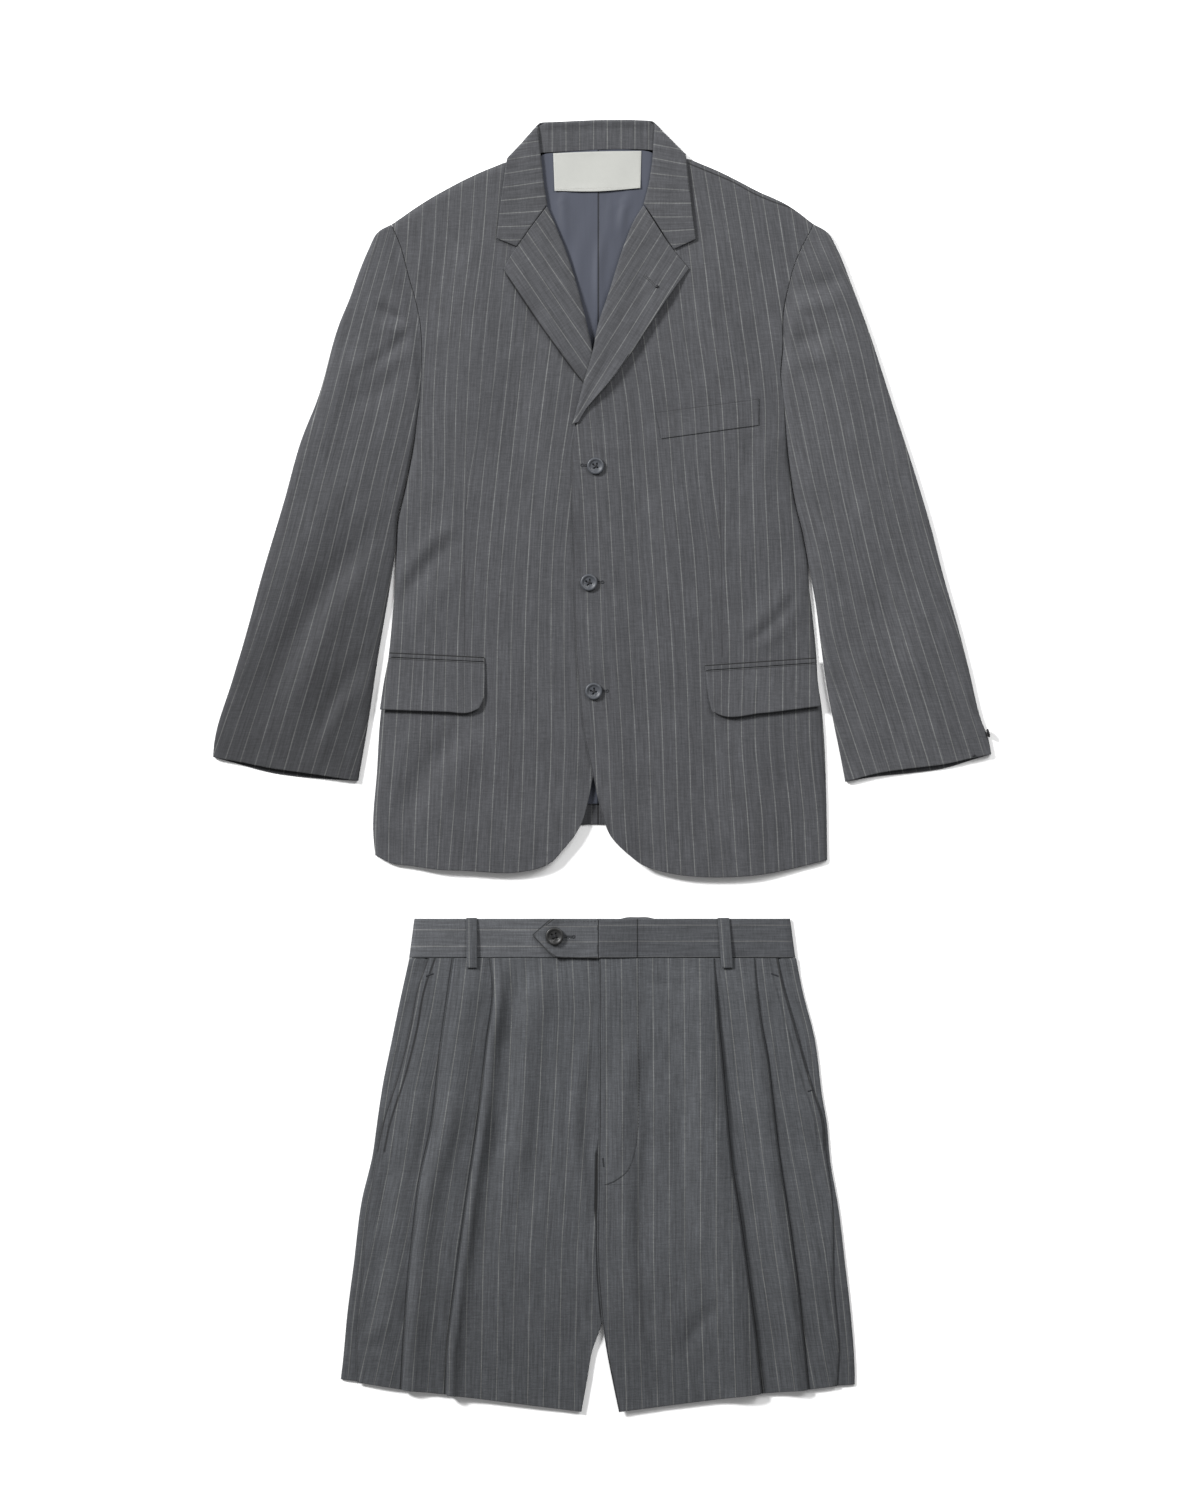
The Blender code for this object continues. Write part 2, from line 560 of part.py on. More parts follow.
def build_jacket(parent):
    outer_r = line(ARMHOLE_R + SIDE_R[1:], corners=(len(ARMHOLE_R) - 1,))
    outer_l = line(ARMHOLE_L + SIDE_L[1:], corners=(len(ARMHOLE_L) - 1,))
    shoulder_r = line(SHOULDER_R, corners=(4,))
    shoulder_l = line(SHOULDER_L, corners=(4,))

    # Back panel and lining, flat, from the neck round by the wearer's right side
    for name, inside, neck, hem, middle, wall, colour in (
        ("jacket_back", BACK_INSET, BACK_NECK, BACK_HEM, BACK_MIDDLE, SUITING, GREY_CLOTH),
        ("jacket_lining", LINING_INSET, LINING_NECK, LINING_HEM, LINING_MIDDLE, LINING, LINING_CLOTH),
    ):
        side_r = np.concatenate([sampled(SHOULDER_R[4::-1], 6)[:-1], sampled(ARMHOLE_R, 9)[:-1],
                                 sampled(SIDE_R[:-1], 18)])
        side_l = np.concatenate([sampled(SHOULDER_L[4::-1], 6)[:-1], sampled(ARMHOLE_L, 9)[:-1],
                                 sampled(SIDE_L[:-1], 18)])
        whole = np.concatenate([side_r, [(0, 830)], side_l[::-1], [(0, 0)]])
        whole = inset(whole, inside)
        side_r = whole[: len(side_r)]
        side_l = whole[len(side_r) + 1:-1]
        side_r = side_r[side_r[:, 1] < hem[0][1] - 4]
        side_l = side_l[side_l[:, 1] < hem[-1][1] - 4]
        points = np.concatenate([sampled(neck, 11), side_r, sampled(hem, 11), side_l])
        flat_cloth(name, points, middle, wall, parent, colour, 0.4 if name == "jacket_lining" else 0.85)

    edge_r = line(NECK_R + beside(ROLL_R, -ROLL_SETBACK)[:-1] + EDGE_R)
    edge_l = line(NECK_L + beside(ROLL_L, ROLL_SETBACK)[:-1] + EDGE_L)
    seam_r = sampled(SHOULDER_R[:5], 60)
    seam_l = sampled(SHOULDER_L[:5], 60)
    jacket_front("front_right", outer_r, edge_r, shoulder_r, seam_r, line(HEM_R), front_height_r, parent)
    jacket_front("front_left", outer_l, edge_l, shoulder_l, seam_l, line(HEM_L), front_height_l, parent)
    lapel("lapel_right", line(ROLL_R), line(LAPEL_EDGE_R), line(GORGE_R), line(LAPEL_END_R), front_height_r, parent)
    lapel("lapel_left", line(ROLL_L), line(LAPEL_EDGE_L), line(GORGE_L), line(LAPEL_END_L), front_height_l, parent)
    collar("collar", parent)

    # Stand: a band inside the back of the neck, its top edge just inside the collar's roll
    top = line(STAND_TOP)
    seam = line(STAND_SEAM)
    rows = []
    for share, z in ((0.0, STAND_LEVEL + 0.7), (0.35, STAND_LEVEL), (1.0, STAND_LEVEL)):
        flat = top(np.linspace(0, 1, 13)) * (1 - share) + seam(np.linspace(0, 1, 13)) * share
        rows.append(np.column_stack([flat[:, 0], -flat[:, 1], np.full(13, z)]))
    cloth("collar_stand", np.array(rows), LINING, parent, GREY_CLOTH)

    seam_shift = np.array([SEAM, 0.0])
    head_r = [tuple(np.array(p) - seam_shift * 1.5) for p in ARMHOLE_R]
    head_l = [tuple(np.array(p) + seam_shift * 2.0) for p in ARMHOLE_L]
    sleeve("sleeve_right", line([head_r[0]] + SLEEVE_OUTER_R[1:]), line([head_r[-1]] + SLEEVE_INNER_R[1:]),
           line(head_r), line(CUFF_R), parent)
    sleeve("sleeve_left", line([head_l[0]] + SLEEVE_OUTER_L[1:]), line([head_l[-1]] + SLEEVE_INNER_L[1:]),
           line(head_l), line(CUFF_L), parent)

    label_middle = LINING_MIDDLE + LINING / 2 + 0.3 + LABEL_WALL / 2
    flat_cloth("label", LABEL, label_middle, LABEL_WALL, parent, LABEL_CLOTH)
    laid_on("pocket_flap_right", FLAP_R, front_height_r, FLAP_WALL, parent, 5, 8)
    laid_on("pocket_flap_left", FLAP_L, front_height_l, FLAP_WALL, parent, 5, 8)
    laid_on("pocket_welt_right", WELT_R, front_height_r, WELT_WALL, parent, 2, 8)
    laid_on("pocket_welt_left", WELT_L, front_height_l, WELT_WALL, parent, 2, 8)
    laid_on("chest_welt", CHEST_WELT, front_height_l, SUITING, parent, 3, 7)

    for number, (x, down) in enumerate(FRONT_BUTTONS, 1):
        obj = button(f"front_button_{number}", JACKET_BUTTON, BUTTON_THICK, parent, BUTTON_GREY)
        top_of_cloth = front_height_l(x, down) + SUITING / 2 + LAYER_GAP
        obj.location = (x * MM, -down * MM, top_of_cloth * MM)
    x, down = CUFF_BUTTON_AT
    obj = button("cuff_button", CUFF_BUTTON, CUFF_BUTTON_THICK, parent, BUTTON_DARK)
    obj.location = (x * MM, -down * MM, (CUFF_BUTTON / 2 + CUFF_BUTTON_CLEAR) * MM)
    obj.rotation_euler = (0, math.radians(90), math.radians(CUFF_BUTTON_LEAN))


# --- shorts ---


def below_pocket(down):
    """0 along the pocket's mouth and 1 well below it, where the side panel is sewn on."""
    return ramp(down, POCKET_END + 5, POCKET_END + 40)


def leg_front(name, lines, lift_towards, parent):
    """A front of one leg, from its inner edge out over two knife pleats to the pocket's edge and the side seam.

    Each pleat is a fold whose edge faces the side: the cloth rises to the edge, turns in under itself by the pleat's
    depth, and turns out again to run on at the lower level.
    """
    inner, pleat_a, pleat_b, side = lines
    grid = []
    for v in np.concatenate([[0], np.linspace(0.03, 1, 13)]):
        depth = PLEAT_DEPTH_WAIST + (PLEAT_DEPTH_HEM - PLEAT_DEPTH_WAIST) * v
        ridge = PLEAT_RIDGE * (0.15 + 0.85 * ramp(v, 0, 0.18))
        low = LEG_LEVEL
        top_start = low + 2 * PLEAT_STEP - PLEAT_OVERRISE
        starts = inner(v), pleat_a(v), pleat_b(v)
        ends = pleat_a(v), pleat_b(v), side(v)
        row = []
        for strip in range(3):
            start, end = starts[strip], ends[strip]
            width = np.linalg.norm(end - start)
            if strip < 2:
                spots = [width - depth, width - depth / 2, width]
                if strip == 0:
                    free = width - depth - 6
                    spots = [0] + [FLY_WIDTH + share * (free - FLY_WIDTH) for share in (0, 0.36, 0.7, 1)] + spots
                else:
                    spots = [0.4 * (width - depth)] + spots
            else:
                spots = [0.3 * width, 0.65 * width, width]
            for spot in spots:
                flat = start + (end - start) * spot / width
                from_edge = width - spot
                near = 1 - ramp(from_edge, depth, depth + RISE_WIDTH) if strip < 2 else 0.0
                rise = (top_start - low) * near + ridge * (1 - ramp(from_edge, 0, depth)) * (strip < 2)
                z = low + rise
                if strip == 0:
                    z += FLY_LIFT * lift_towards * (1 - ramp(spot, FLY_WIDTH, FLY_FADE))
                if strip == 2:
                    z -= SIDE_DROP * ramp(spot, 0.5 * width, width) * below_pocket(flat[1])
                row.append((flat[0], -flat[1], z))
            if strip == 2:
                continue
            # The fold: the upper layer's last points again, one and two steps lower
            reach = (end - start) / width
            upper = np.array(row[-3:])
            step = np.array([0, 0, PLEAT_STEP])
            turn = np.array([reach[0], -reach[1], 0]) * PLEAT_STEP / 2
            row.append(tuple(upper[2] + turn - step / 2))
            row.append(tuple(upper[2] - step))
            row.append(tuple(upper[1] - step))
            row.append(tuple(upper[0] - step))
            row.append(tuple(upper[0] - turn - 1.5 * step))
            row.append(tuple(upper[0] - 2 * step))
            row.append(tuple(upper[1] - 2 * step))
            row.append(tuple(upper[2] - 2 * step))
        grid.append(row)
    return cloth(name, np.array(grid), SHORTS_WALL, parent, SHORTS_CLOTH)


def side_panel(name, inner, outer, parent):
    """The strip from the pocket's mouth and the side seam round to the outline, turned down there."""
    grid = []
    for v in np.linspace(0, 1, 14):
        start, end = outer(v), inner(v)
        width = np.linalg.norm(end - start)
        row = []
        for spot in (0.6, 1.6, 4.5, 0.5 * (width + 4.5), width):
            flat = start + (end - start) * spot / width
            drop = PANEL_TURN * np.clip(1 - spot / PANEL_TURN_WIDTH, 0, 1) ** 2
            level = SIDE_LEVEL + (LEG_LEVEL - SIDE_DROP - SIDE_LEVEL) * below_pocket(flat[1]) * spot / width
            row.append((flat[0], -flat[1], level - drop))
        grid.append(row)
    return cloth(name, np.array(grid), SHORTS_WALL, parent, SHORTS_CLOTH)


def band(name, start, end, height, parent):
    """A length of waistband between two x positions, with the height of its middle given by a function of x."""
    grid = []
    ends = np.array([0, 1.5, 4, 8])
    for x in np.concatenate([start + ends, np.linspace(start + 20, end - 20, 9), end - ends[::-1]]):
        spread = 1 + (BAND_HALF_SEAM / BAND_HALF_TOP - 1) * min(1, abs(x) / BAND_HALF_TOP)
        row = []
        for share in (0, 0.5, 1):
            down = BAND_TOP + (BAND_SEAM - BAND_TOP) * share
            wide = x * (1 + (spread - 1) * share)
            row.append((wide, -down, height(x)))
        grid.append(row)
    return cloth(name, np.array(grid), BAND_WALL, parent, SHORTS_CLOTH)


def build_shorts(parent):
    inner_r = line(LEG_INNER_R)
    inner_l = line(LEG_INNER_L)
    leg_front("shorts_front_right", (inner_r, line(PLEAT_INNER_R), line(PLEAT_OUTER_R), line(FRONT_SIDE_R)), 0,
              parent)
    leg_front("shorts_front_left", (inner_l, line(PLEAT_INNER_L), line(PLEAT_OUTER_L), line(FRONT_SIDE_L)), 1,
              parent)
    side_panel("side_panel_right", line(PANEL_INNER_R), line(LEG_OUTER_R), parent)
    side_panel("side_panel_left", line(PANEL_INNER_L), line(LEG_OUTER_L), parent)

    for name, outer, inner, sign in (
        ("shorts_back_right", LEG_OUTER_R, LEG_INNER_R, -1),
        ("shorts_back_left", LEG_OUTER_L, LEG_INNER_L, 1),
    ):
        side = sampled(outer, 16)
        side = side - np.array([sign * BACK_INSET, 0])
        side[-1, 1] -= BACK_SHORTER
        leg = sampled([row for row in inner if row[1] > CROTCH], 5)
        leg = leg + np.array([sign * 2 * SEAM, 0])
        leg[-1, 1] -= BACK_SHORTER
        middle_line = [(sign * SEAM / 2, CROTCH), (sign * SEAM / 2, LEG_TOP)]
        flat_cloth(name, np.concatenate([side, leg[::-1], middle_line]), SUITING / 2, SUITING, parent, SHORTS_CLOTH)

    # Waistband: the back part on the surface, then the wearer's right part, then the left part over it
    top_end = BAND_HALF_TOP - BACK_INSET - 0.5
    low_end = BAND_HALF_SEAM - BACK_INSET - 0.5
    back = [(-top_end, BAND_TOP), (20, BAND_TOP)] + [(x, BAND_TOP - by) for x, by in BACK_RISE]
    back += [(54, BAND_TOP), (top_end, BAND_TOP), (low_end, BAND_SEAM), (-low_end, BAND_SEAM)]
    flat_cloth("waistband_back", back, BACK_BAND_WALL / 2, BACK_BAND_WALL, parent, SHORTS_CLOTH)

    def height_r(x):
        return BAND_LEVEL - BAND_CURL * np.clip(1 - (x + BAND_HALF_TOP) / BAND_CURL_WIDTH, 0, 1) ** 2

    def height_l(x):
        over = (BAND_WALL + LAYER_GAP) * (1 - ramp(x, 14, 46))
        return BAND_LEVEL + over - BAND_CURL * np.clip(1 - (BAND_HALF_TOP - x) / BAND_CURL_WIDTH, 0, 1) ** 2

    band("waistband_right", -BAND_HALF_TOP, BAND_UNDER_END, height_r, parent)
    band("waistband_left", BAND_OVER_END, BAND_HALF_TOP, height_l, parent)

    tab_middle = BAND_LEVEL + BAND_WALL / 2 + LAYER_GAP + TAB_WALL / 2
    tab_end = BAND_OVER_END - 0.6
    tab = [TAB_POINT, TAB_CORNER, (tab_end, 1.8), (tab_end, 43.4), TAB_LOW_CORNER]
    flat_cloth("waist_tab", tab, tab_middle, TAB_WALL, parent, SHORTS_CLOTH)
    obj = button("waist_button", SHORTS_BUTTON, BUTTON_THICK, parent, BUTTON_DARK)
    obj.location = (TAB_BUTTON_AT[0] * MM, -TAB_BUTTON_AT[1] * MM, (tab_middle + TAB_WALL / 2 + LAYER_GAP) * MM)

    for name, ((top_a, top_b), (low_a, low_b)) in (("belt_loop_right", LOOP_R), ("belt_loop_left", LOOP_L)):
        grid = []
        for share in np.linspace(0, 1, 9):
            a = top_a + (low_a - top_a) * share
            b = top_b + (low_b - top_b) * share
            down = 0.6 + (LOOP_DOWN - 0.6) * share
            over_band = (BAND_WALL + LOOP_WALL) / 2 + LAYER_GAP
            z = BAND_LEVEL + over_band + 0.5 * math.sin(math.pi * share) + LOOP_RISE * share
            grid.append([(a, -down, z), ((a + b) / 2, -down, z + 0.2), (b, -down, z)])
        cloth(name, np.array(grid), LOOP_WALL, parent, SHORTS_CLOTH)


for old in list(bpy.data.objects):
    bpy.data.objects.remove(old, do_unlink=True)

suit = bpy.data.collections.new("shorts_suit")
bpy.context.scene.collection.children.link(suit)
places = {}
for place, top_edge in (("jacket_place", JACKET_TOP), ("shorts_place", SHORTS_TOP)):
    places[place] = bpy.data.objects.new(place, None)
    places[place].location = (0, top_edge * MM, 0)
    suit.objects.link(places[place])

build_jacket(places["jacket_place"])
build_shorts(places["shorts_place"])
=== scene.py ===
"""The looks of a two-piece shorts suit laid flat: a pinstripe jacket and a pair of pleated shorts below it.

Every piece of cloth is a thin closed sheet on the form of its solid, made from the same sizes. Lengths are in
millimetres and points are x (to the viewer's right) and down (towards the hem), from the middle of the collar's top
edge for the jacket and from the waistband's top edge for the shorts. Right and left in names are the wearer's.
"""

import math

import bpy
import numpy as np
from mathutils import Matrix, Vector


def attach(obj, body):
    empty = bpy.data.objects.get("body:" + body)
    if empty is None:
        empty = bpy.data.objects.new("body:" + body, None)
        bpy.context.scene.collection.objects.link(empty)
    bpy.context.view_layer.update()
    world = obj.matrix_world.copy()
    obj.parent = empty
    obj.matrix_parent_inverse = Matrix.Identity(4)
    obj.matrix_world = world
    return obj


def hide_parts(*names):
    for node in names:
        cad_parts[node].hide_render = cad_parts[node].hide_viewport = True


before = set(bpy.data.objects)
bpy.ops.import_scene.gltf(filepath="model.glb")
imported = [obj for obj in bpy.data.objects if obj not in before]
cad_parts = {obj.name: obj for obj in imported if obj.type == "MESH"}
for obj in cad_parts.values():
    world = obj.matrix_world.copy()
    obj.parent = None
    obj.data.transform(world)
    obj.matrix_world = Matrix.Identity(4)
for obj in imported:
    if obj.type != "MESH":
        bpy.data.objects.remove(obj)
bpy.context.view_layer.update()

MM = 0.001
JACKET_TOP = 678.87
SHORTS_TOP = -158.93

# --- sizes of the garments, as in the part's source ---

SUITING = 1.5
LINING = 1.0
SLEEVE_WALL = 1.2
SHORTS_WALL = 1.2
BAND_WALL = 2.4
BACK_BAND_WALL = 1.8
LABEL_WALL = 0.5
FLAP_WALL = 1.6
WELT_WALL = 1.4
CHEST_WELT_WALL = 0.6
TAB_WALL = 1.6
LOOP_WALL = 1.6
LAYER_GAP = 0.35
LINING_MIDDLE = 2.3
BODY_LEVEL = 4.0
CROWN = 1.2
HALF_WIDTH = 240.0
CURL_DROP = 2.9
CURL_WIDTH = 9.0
LAPEL_LIFT = SUITING + LAYER_GAP
OVERLAP_LIFT = SUITING + 0.3
TAIL_LIFT = SUITING + 0.4
SLEEVE_HIGH = 6.0
SLEEVE_HEAD_HIGH = 5.4
SLEEVE_CUFF_HIGH = 5.2
BACK_HEM_SHOWS = 5.0
ROLL_SETBACK = 2.9
LINING_INSET = 10.5
BACK_INSET = 4.0
BACK_SEAM_X = -4.0
JACKET_BUTTON = 18.0
CUFF_BUTTON = 9.0
SHORTS_BUTTON = 20.0
BUTTON_THICK = 3.0
PLEAT_STEP = SHORTS_WALL + 0.3
PLEAT_DEPTH_WAIST = 15.0
PLEAT_DEPTH_HEM = 9.0
PLEAT_OVERRISE = 1.4
LEG_LEVEL = 4.0
FLY_LIFT = SHORTS_WALL + 0.4
# A little lower than the solid, so that the fronts' lowest troughs stay clear of it
SIDE_LEVEL = 2.45 - 0.15
BAND_LEVEL = 4.1
BAND_END_DROP = 2.4
BAND_END_WIDTH = 8.0
SEAM = 0.6

SHOULDER_R = [(-221, 111), (-185, 86.5), (-155, 69.5), (-135, 59.5), (-104, 46.5), (-96, 45.5), (-68, 62)]
ARMHOLE_R = [(-221, 111), (-211, 135), (-203, 165), (-195, 193), (-190, 221), (-189, 251), (-191, 295)]
SIDE_R = [(-191, 295), (-199, 348), (-207, 389), (-214.6, 423), (-216.4, 456), (-217, 482), (-220, 523),
          (-225.5, 576), (-229.5, 603), (-233, 632), (-236, 681), (-240, 753), (-238, 773)]
HEM_R = [(-238, 773), (-222, 781), (-200, 784), (-173, 788), (-146, 789), (-86, 790.5), (-65, 786), (-53, 780),
         (-41, 767), (-30, 754)]
NECK_R = [(-68, 62), (-64, 84)]
EDGE_R = [(-3, 285), (6, 325), (9, 400), (9, 526), (5, 606), (-2.5, 663), (-10.5, 695), (-15.5, 719), (-22, 740),
          (-30, 754)]
SHOULDER_L = [(222, 111), (194, 90.5), (164, 76.5), (126, 57), (92, 42.5), (84, 42.0), (57, 60)]
ARMHOLE_L = [(222, 111), (204, 147), (195, 177), (190, 201), (189, 241), (187, 271), (191, 295)]
SIDE_L = [(191, 295), (192, 322), (196, 362), (202, 402), (211, 440), (216, 469), (216.7, 488), (220, 517),
          (224.6, 565), (226, 590), (230, 618), (233, 657), (235, 715), (236, 778)]
HEM_L = [(236, 778), (208, 785), (175, 792), (121, 796), (85, 794), (63, 790), (42, 783), (26, 771)]
NECK_L = [(57, 60), (51, 83)]
EDGE_L = [(-31.6, 350), (-32, 388), (-30, 436), (-28.5, 526), (-27, 566), (-23, 606), (-21, 630), (-15.5, 663),
          (-10, 687), (-1, 727), (3.4, 741), (9.6, 754), (16, 761.5), (26, 771)]
ROLL_R = [(-58, 92.5), (-38, 141), (-13, 232), (-7, 262)]
GORGE_R = [(-58, 92.5), (-90, 135.5), (-96, 144.5), (-103.5, 158)]
LAPEL_EDGE_R = [(-103.5, 158), (-53, 232), (-19, 277), (-13, 284)]
LAPEL_END_R = [(-7, 262), (-13, 284)]
ROLL_L = [(43.6, 91.5), (35, 105), (23, 134), (8, 181), (-5, 221), (-9, 242), (-19, 277), (-26.5, 305), (-31, 321)]
GORGE_L = [(43.6, 91.5), (75, 138.5), (91, 158)]
LAPEL_EDGE_L = [(91, 158), (70, 187), (50, 217), (30, 247), (8, 277), (-5, 292), (-18, 307), (-25.5, 319.5)]
LAPEL_END_L = [(-31, 321), (-25.5, 319.5)]
# Columns: roll x, roll down, height at the start of the roll, height of the fall at the roll, edge x, edge down,
# height at the edge
COLLAR = [
    (-58.0, 91.5, 4.2, 6.1, -111.0, 126.0, 6.7),
    (-62.0, 66.0, 4.1, 6.0, -107.5, 99.0, 6.4),
    (-64.5, 42.0, 4.1, 6.0, -104.0, 70.0, 6.0),
    (-66.5, 24.0, 4.1, 6.0, -101.5, 52.0, 6.0),
    (-67.8, 12.0, 4.0, 5.9, -100.2, 43.6, 5.6),
    (-68.4, 7.0, 3.8, 4.6, -99.2, 40.6, 4.6),
    (-68.2, 5.2, 3.6, 3.3, -98.4, 40.0, 3.2),
    (-66.0, 4.4, 3.5, 2.0, -95.0, 41.6, 1.7),
    (-60.0, 4.0, 3.5, 0.9, -86.0, 44.5, 0.75),
    (-40.0, 3.2, 3.5, 0.75, -52.0, 46.5, 0.75),
    (-5.0, 1.6, 3.5, 0.75, -7.0, 45.5, 0.75),
    (28.0, 1.4, 3.5, 0.75, 40.0, 44.5, 0.75),
    (47.0, 2.2, 3.5, 0.9, 74.0, 41.5, 0.75),
    (53.0, 2.6, 3.5, 2.0, 83.0, 37.6, 1.7),
    (55.2, 3.4, 3.6, 3.3, 86.4, 36.2, 3.2),
    (55.6, 5.6, 3.8, 4.6, 87.2, 37.0, 4.6),
    (55.2, 11.0, 4.0, 5.9, 88.0, 40.0, 5.6),
    (54.2, 24.0, 4.1, 6.0, 89.0, 51.0, 6.0),
    (53.0, 44.0, 4.1, 6.0, 91.0, 69.0, 6.0),
    (49.5, 68.0, 4.1, 6.0, 94.0, 97.0, 6.4),
    (43.6, 90.5, 4.2, 6.1, 98.0, 127.0, 6.7),
]
NOTCH_SHARE = 0.7
NOTCH_R = (-89.5, 134.2)
NOTCH_L = (74.6, 137.2)
NOTCH_REACH = 3
STAND_TOP = [(-69.0, 9.5), (-66.5, 7.4), (-62, 5.7), (-40, 4.5), (-5, 2.9), (28, 2.7), (47, 3.5), (53, 5.2),
             (56.5, 9.5)]
STAND_SEAM = [(-67, 36.2), (-61, 35.8), (-45, 35), (-5, 32.6), (30, 32.2), (50, 33), (55, 33.4)]
STAND_LEVEL = 2.6
SLEEVE_OUTER_R = [(-222.5, 111), (-235, 118.5), (-245, 137), (-255, 161), (-265, 189), (-275, 213), (-299, 295),
                  (-315, 335), (-334, 402), (-355, 472), (-377, 552), (-387.5, 587), (-408, 662), (-408.4, 670)]
SLEEVE_INNER_R = [(-192, 296), (-200, 348), (-208, 389), (-215.6, 423), (-217.4, 453), (-224, 498), (-235, 563),
                  (-247, 643), (-256, 695)]
CUFF_R = [(-408.4, 670), (-379.5, 675), (-350, 681), (-315, 686), (-288, 690), (-256, 695)]
SLEEVE_OUTER_L = [(223.5, 111), (235.5, 118.5), (246.5, 137), (261, 173), (281, 227), (291.5, 259), (303, 295),
                  (329, 375), (345, 429), (358, 480), (374, 536), (385, 579), (398, 632), (405, 650), (408.4, 667)]
SLEEVE_INNER_L = [(192, 296), (193, 322), (197, 362), (203, 402), (212, 440), (217, 469), (224, 509), (229.5, 552),
                  (235, 592), (242, 630), (249.5, 667), (255, 696)]
CUFF_L = [(408.4, 667), (387.5, 671), (361, 677), (321, 682), (288, 687), (255, 696)]
BACK_NECK = [(84, 49), (72, 50), (38, 51), (-7, 52), (-52, 52), (-84, 52), (-94, 54)]
BACK_HEM = [(-235, 768), (-120, 752), (-9, 740.6), (120, 752), (233, 768)]
LINING_NECK = [(71, 58), (52, 36), (30, 33), (-5, 33.4), (-45, 35.8), (-62, 38), (-77, 60)]
LINING_HEM = [(-224, 744), (-120, 730), (-9, 719), (120, 730), (222, 744)]
LABEL = [(-51.5, 36.4), (41, 34), (40, 73), (-50, 76)]
FLAP_R = {"top": [(-224, 565.6), (-123, 570.6)], "outer": [(-224, 565.6), (-229, 592), (-233, 620)],
          "inner": [(-123, 570.6), (-123, 590), (-124.5, 609), (-129, 619)],
          "bottom": [(-233, 620), (-164, 622.5), (-138, 623), (-129, 619)]}
WELT_R = {"top": [(-223, 560), (-124, 565)], "outer": [(-223, 560), (-223.8, 564.8)],
          "inner": [(-124, 565), (-123.4, 569.8)], "bottom": [(-223.8, 564.8), (-123.4, 569.8)]}
FLAP_L = {"top": [(224, 571.6), (108.4, 579.6)], "outer": [(224, 571.6), (226.5, 594), (229, 616.5)],
          "inner": [(108.4, 579.6), (112, 610), (115, 622)],
          "bottom": [(229, 616.5), (166.5, 624), (125, 626.5), (115, 622)]}
WELT_L = {"top": [(223.5, 565.4), (107.4, 573.4)], "outer": [(223.5, 565.4), (223.9, 570.8)],
          "inner": [(107.4, 573.4), (108.2, 578.8)], "bottom": [(223.9, 570.8), (108.2, 578.8)]}
CHEST_WELT = {"top": [(164, 294), (56, 308)], "outer": [(164, 294), (164, 322)],
              "inner": [(56, 308), (62, 336)], "bottom": [(164, 322), (62, 336)]}
FRONT_BUTTONS = [(-7, 365), (-14, 487), (-9, 601)]
CUFF_BUTTON_AT = (402.3, 645.0)
CUFF_BUTTON_LEAN = 14.0

LEG_INNER_R = [(12, 43.0), (12, 250), (9, 300), (5, 380), (0, 424), (-2.6, 433), (-10, 453), (-16, 486), (-22, 519)]
PLEAT_INNER_R = [(-115, 43.0), (-112, 70), (-119, 136), (-129, 223), (-140, 298), (-149, 365), (-155.5, 413),
                 (-160, 453), (-162, 501)]
PLEAT_OUTER_R = [(-154, 43.0), (-159, 78), (-167, 136), (-177, 221), (-189, 276), (-195, 325), (-201, 380),
                 (-205, 435), (-208.5, 496)]
FRONT_SIDE_R = [(-183, 43.0), (-195, 78), (-202, 117), (-214, 165), (-231.5, 221), (-238, 256), (-247, 316),
                (-253, 391), (-258, 457), (-257, 488)]
PANEL_INNER_R = [(-169, 43.0), (-188, 117), (-204, 180), (-220, 215), (-233, 240), (-236.0, 256), (-245.0, 316),
                 (-251.0, 391), (-256.0, 457), (-254.0, 487.5)]
LEG_OUTER_R = [(-203, 43.0), (-214, 93), (-222, 132), (-230, 171), (-238, 224), (-241, 247), (-253, 298),
               (-261.5, 365), (-268, 415), (-273, 468), (-275, 485)]
LEG_INNER_L = [(-3.3, 43.0), (-3, 192), (-4, 281), (-5, 347), (-3, 391), (0.4, 426), (5, 457), (11.5, 490),
               (17.6, 519)]
PLEAT_INNER_L = [(116, 43.0), (118, 92), (124, 158), (127, 192), (133, 258), (142, 316), (151, 382),
                 (159.5, 448), (165, 500)]
PLEAT_OUTER_L = [(158, 43.0), (163, 102), (171, 149), (176, 192), (184, 258), (193, 316), (203, 391),
                 (210, 457), (214, 496)]
FRONT_SIDE_L = [(184, 43.0), (188, 63), (203, 117), (220, 177), (231, 212), (234, 245), (240, 289), (243, 391),
                (248, 457), (246, 492)]
PANEL_INNER_L = [(170, 43.0), (189, 117), (206, 177), (217, 208), (230, 240), (238.0, 289), (241.0, 391),
                 (246.0, 457), (244.0, 491.8)]
LEG_OUTER_L = [(204, 43.0), (210, 74), (224, 130), (232, 192), (236, 214), (240, 258), (248, 303), (256, 369),
               (261, 413), (265.6, 482), (265.6, 490.5)]
CROTCH = 424.0
POCKET_END = 245.0
BAND_TOP = 1.6
BAND_SEAM = 42.6
BAND_HALF_TOP = 197.0
BAND_HALF_SEAM = 202.5
BAND_UNDER_END = 12.0
BAND_OVER_END = -3.6
BACK_RISE = [(25, 1.2), (37, 1.4), (49, 1.2)]
TAB_POINT = (-72, 19)
TAB_CORNER = (-52, 1.4)
TAB_LOW_CORNER = (-50, 42)
TAB_BUTTON_AT = (-50, 21)
LOOP_TOP = 0.6
LOOP_DOWN = 53.0
LOOP_RISE = 1.3
# Both sides of a belt loop: their x at its upper end, then at its lower end
LOOP_R = [(-142.5, -131.5), (-142.0, -131.0)]
LOOP_L = [(121.0, 133.0), (125.0, 137.0)]

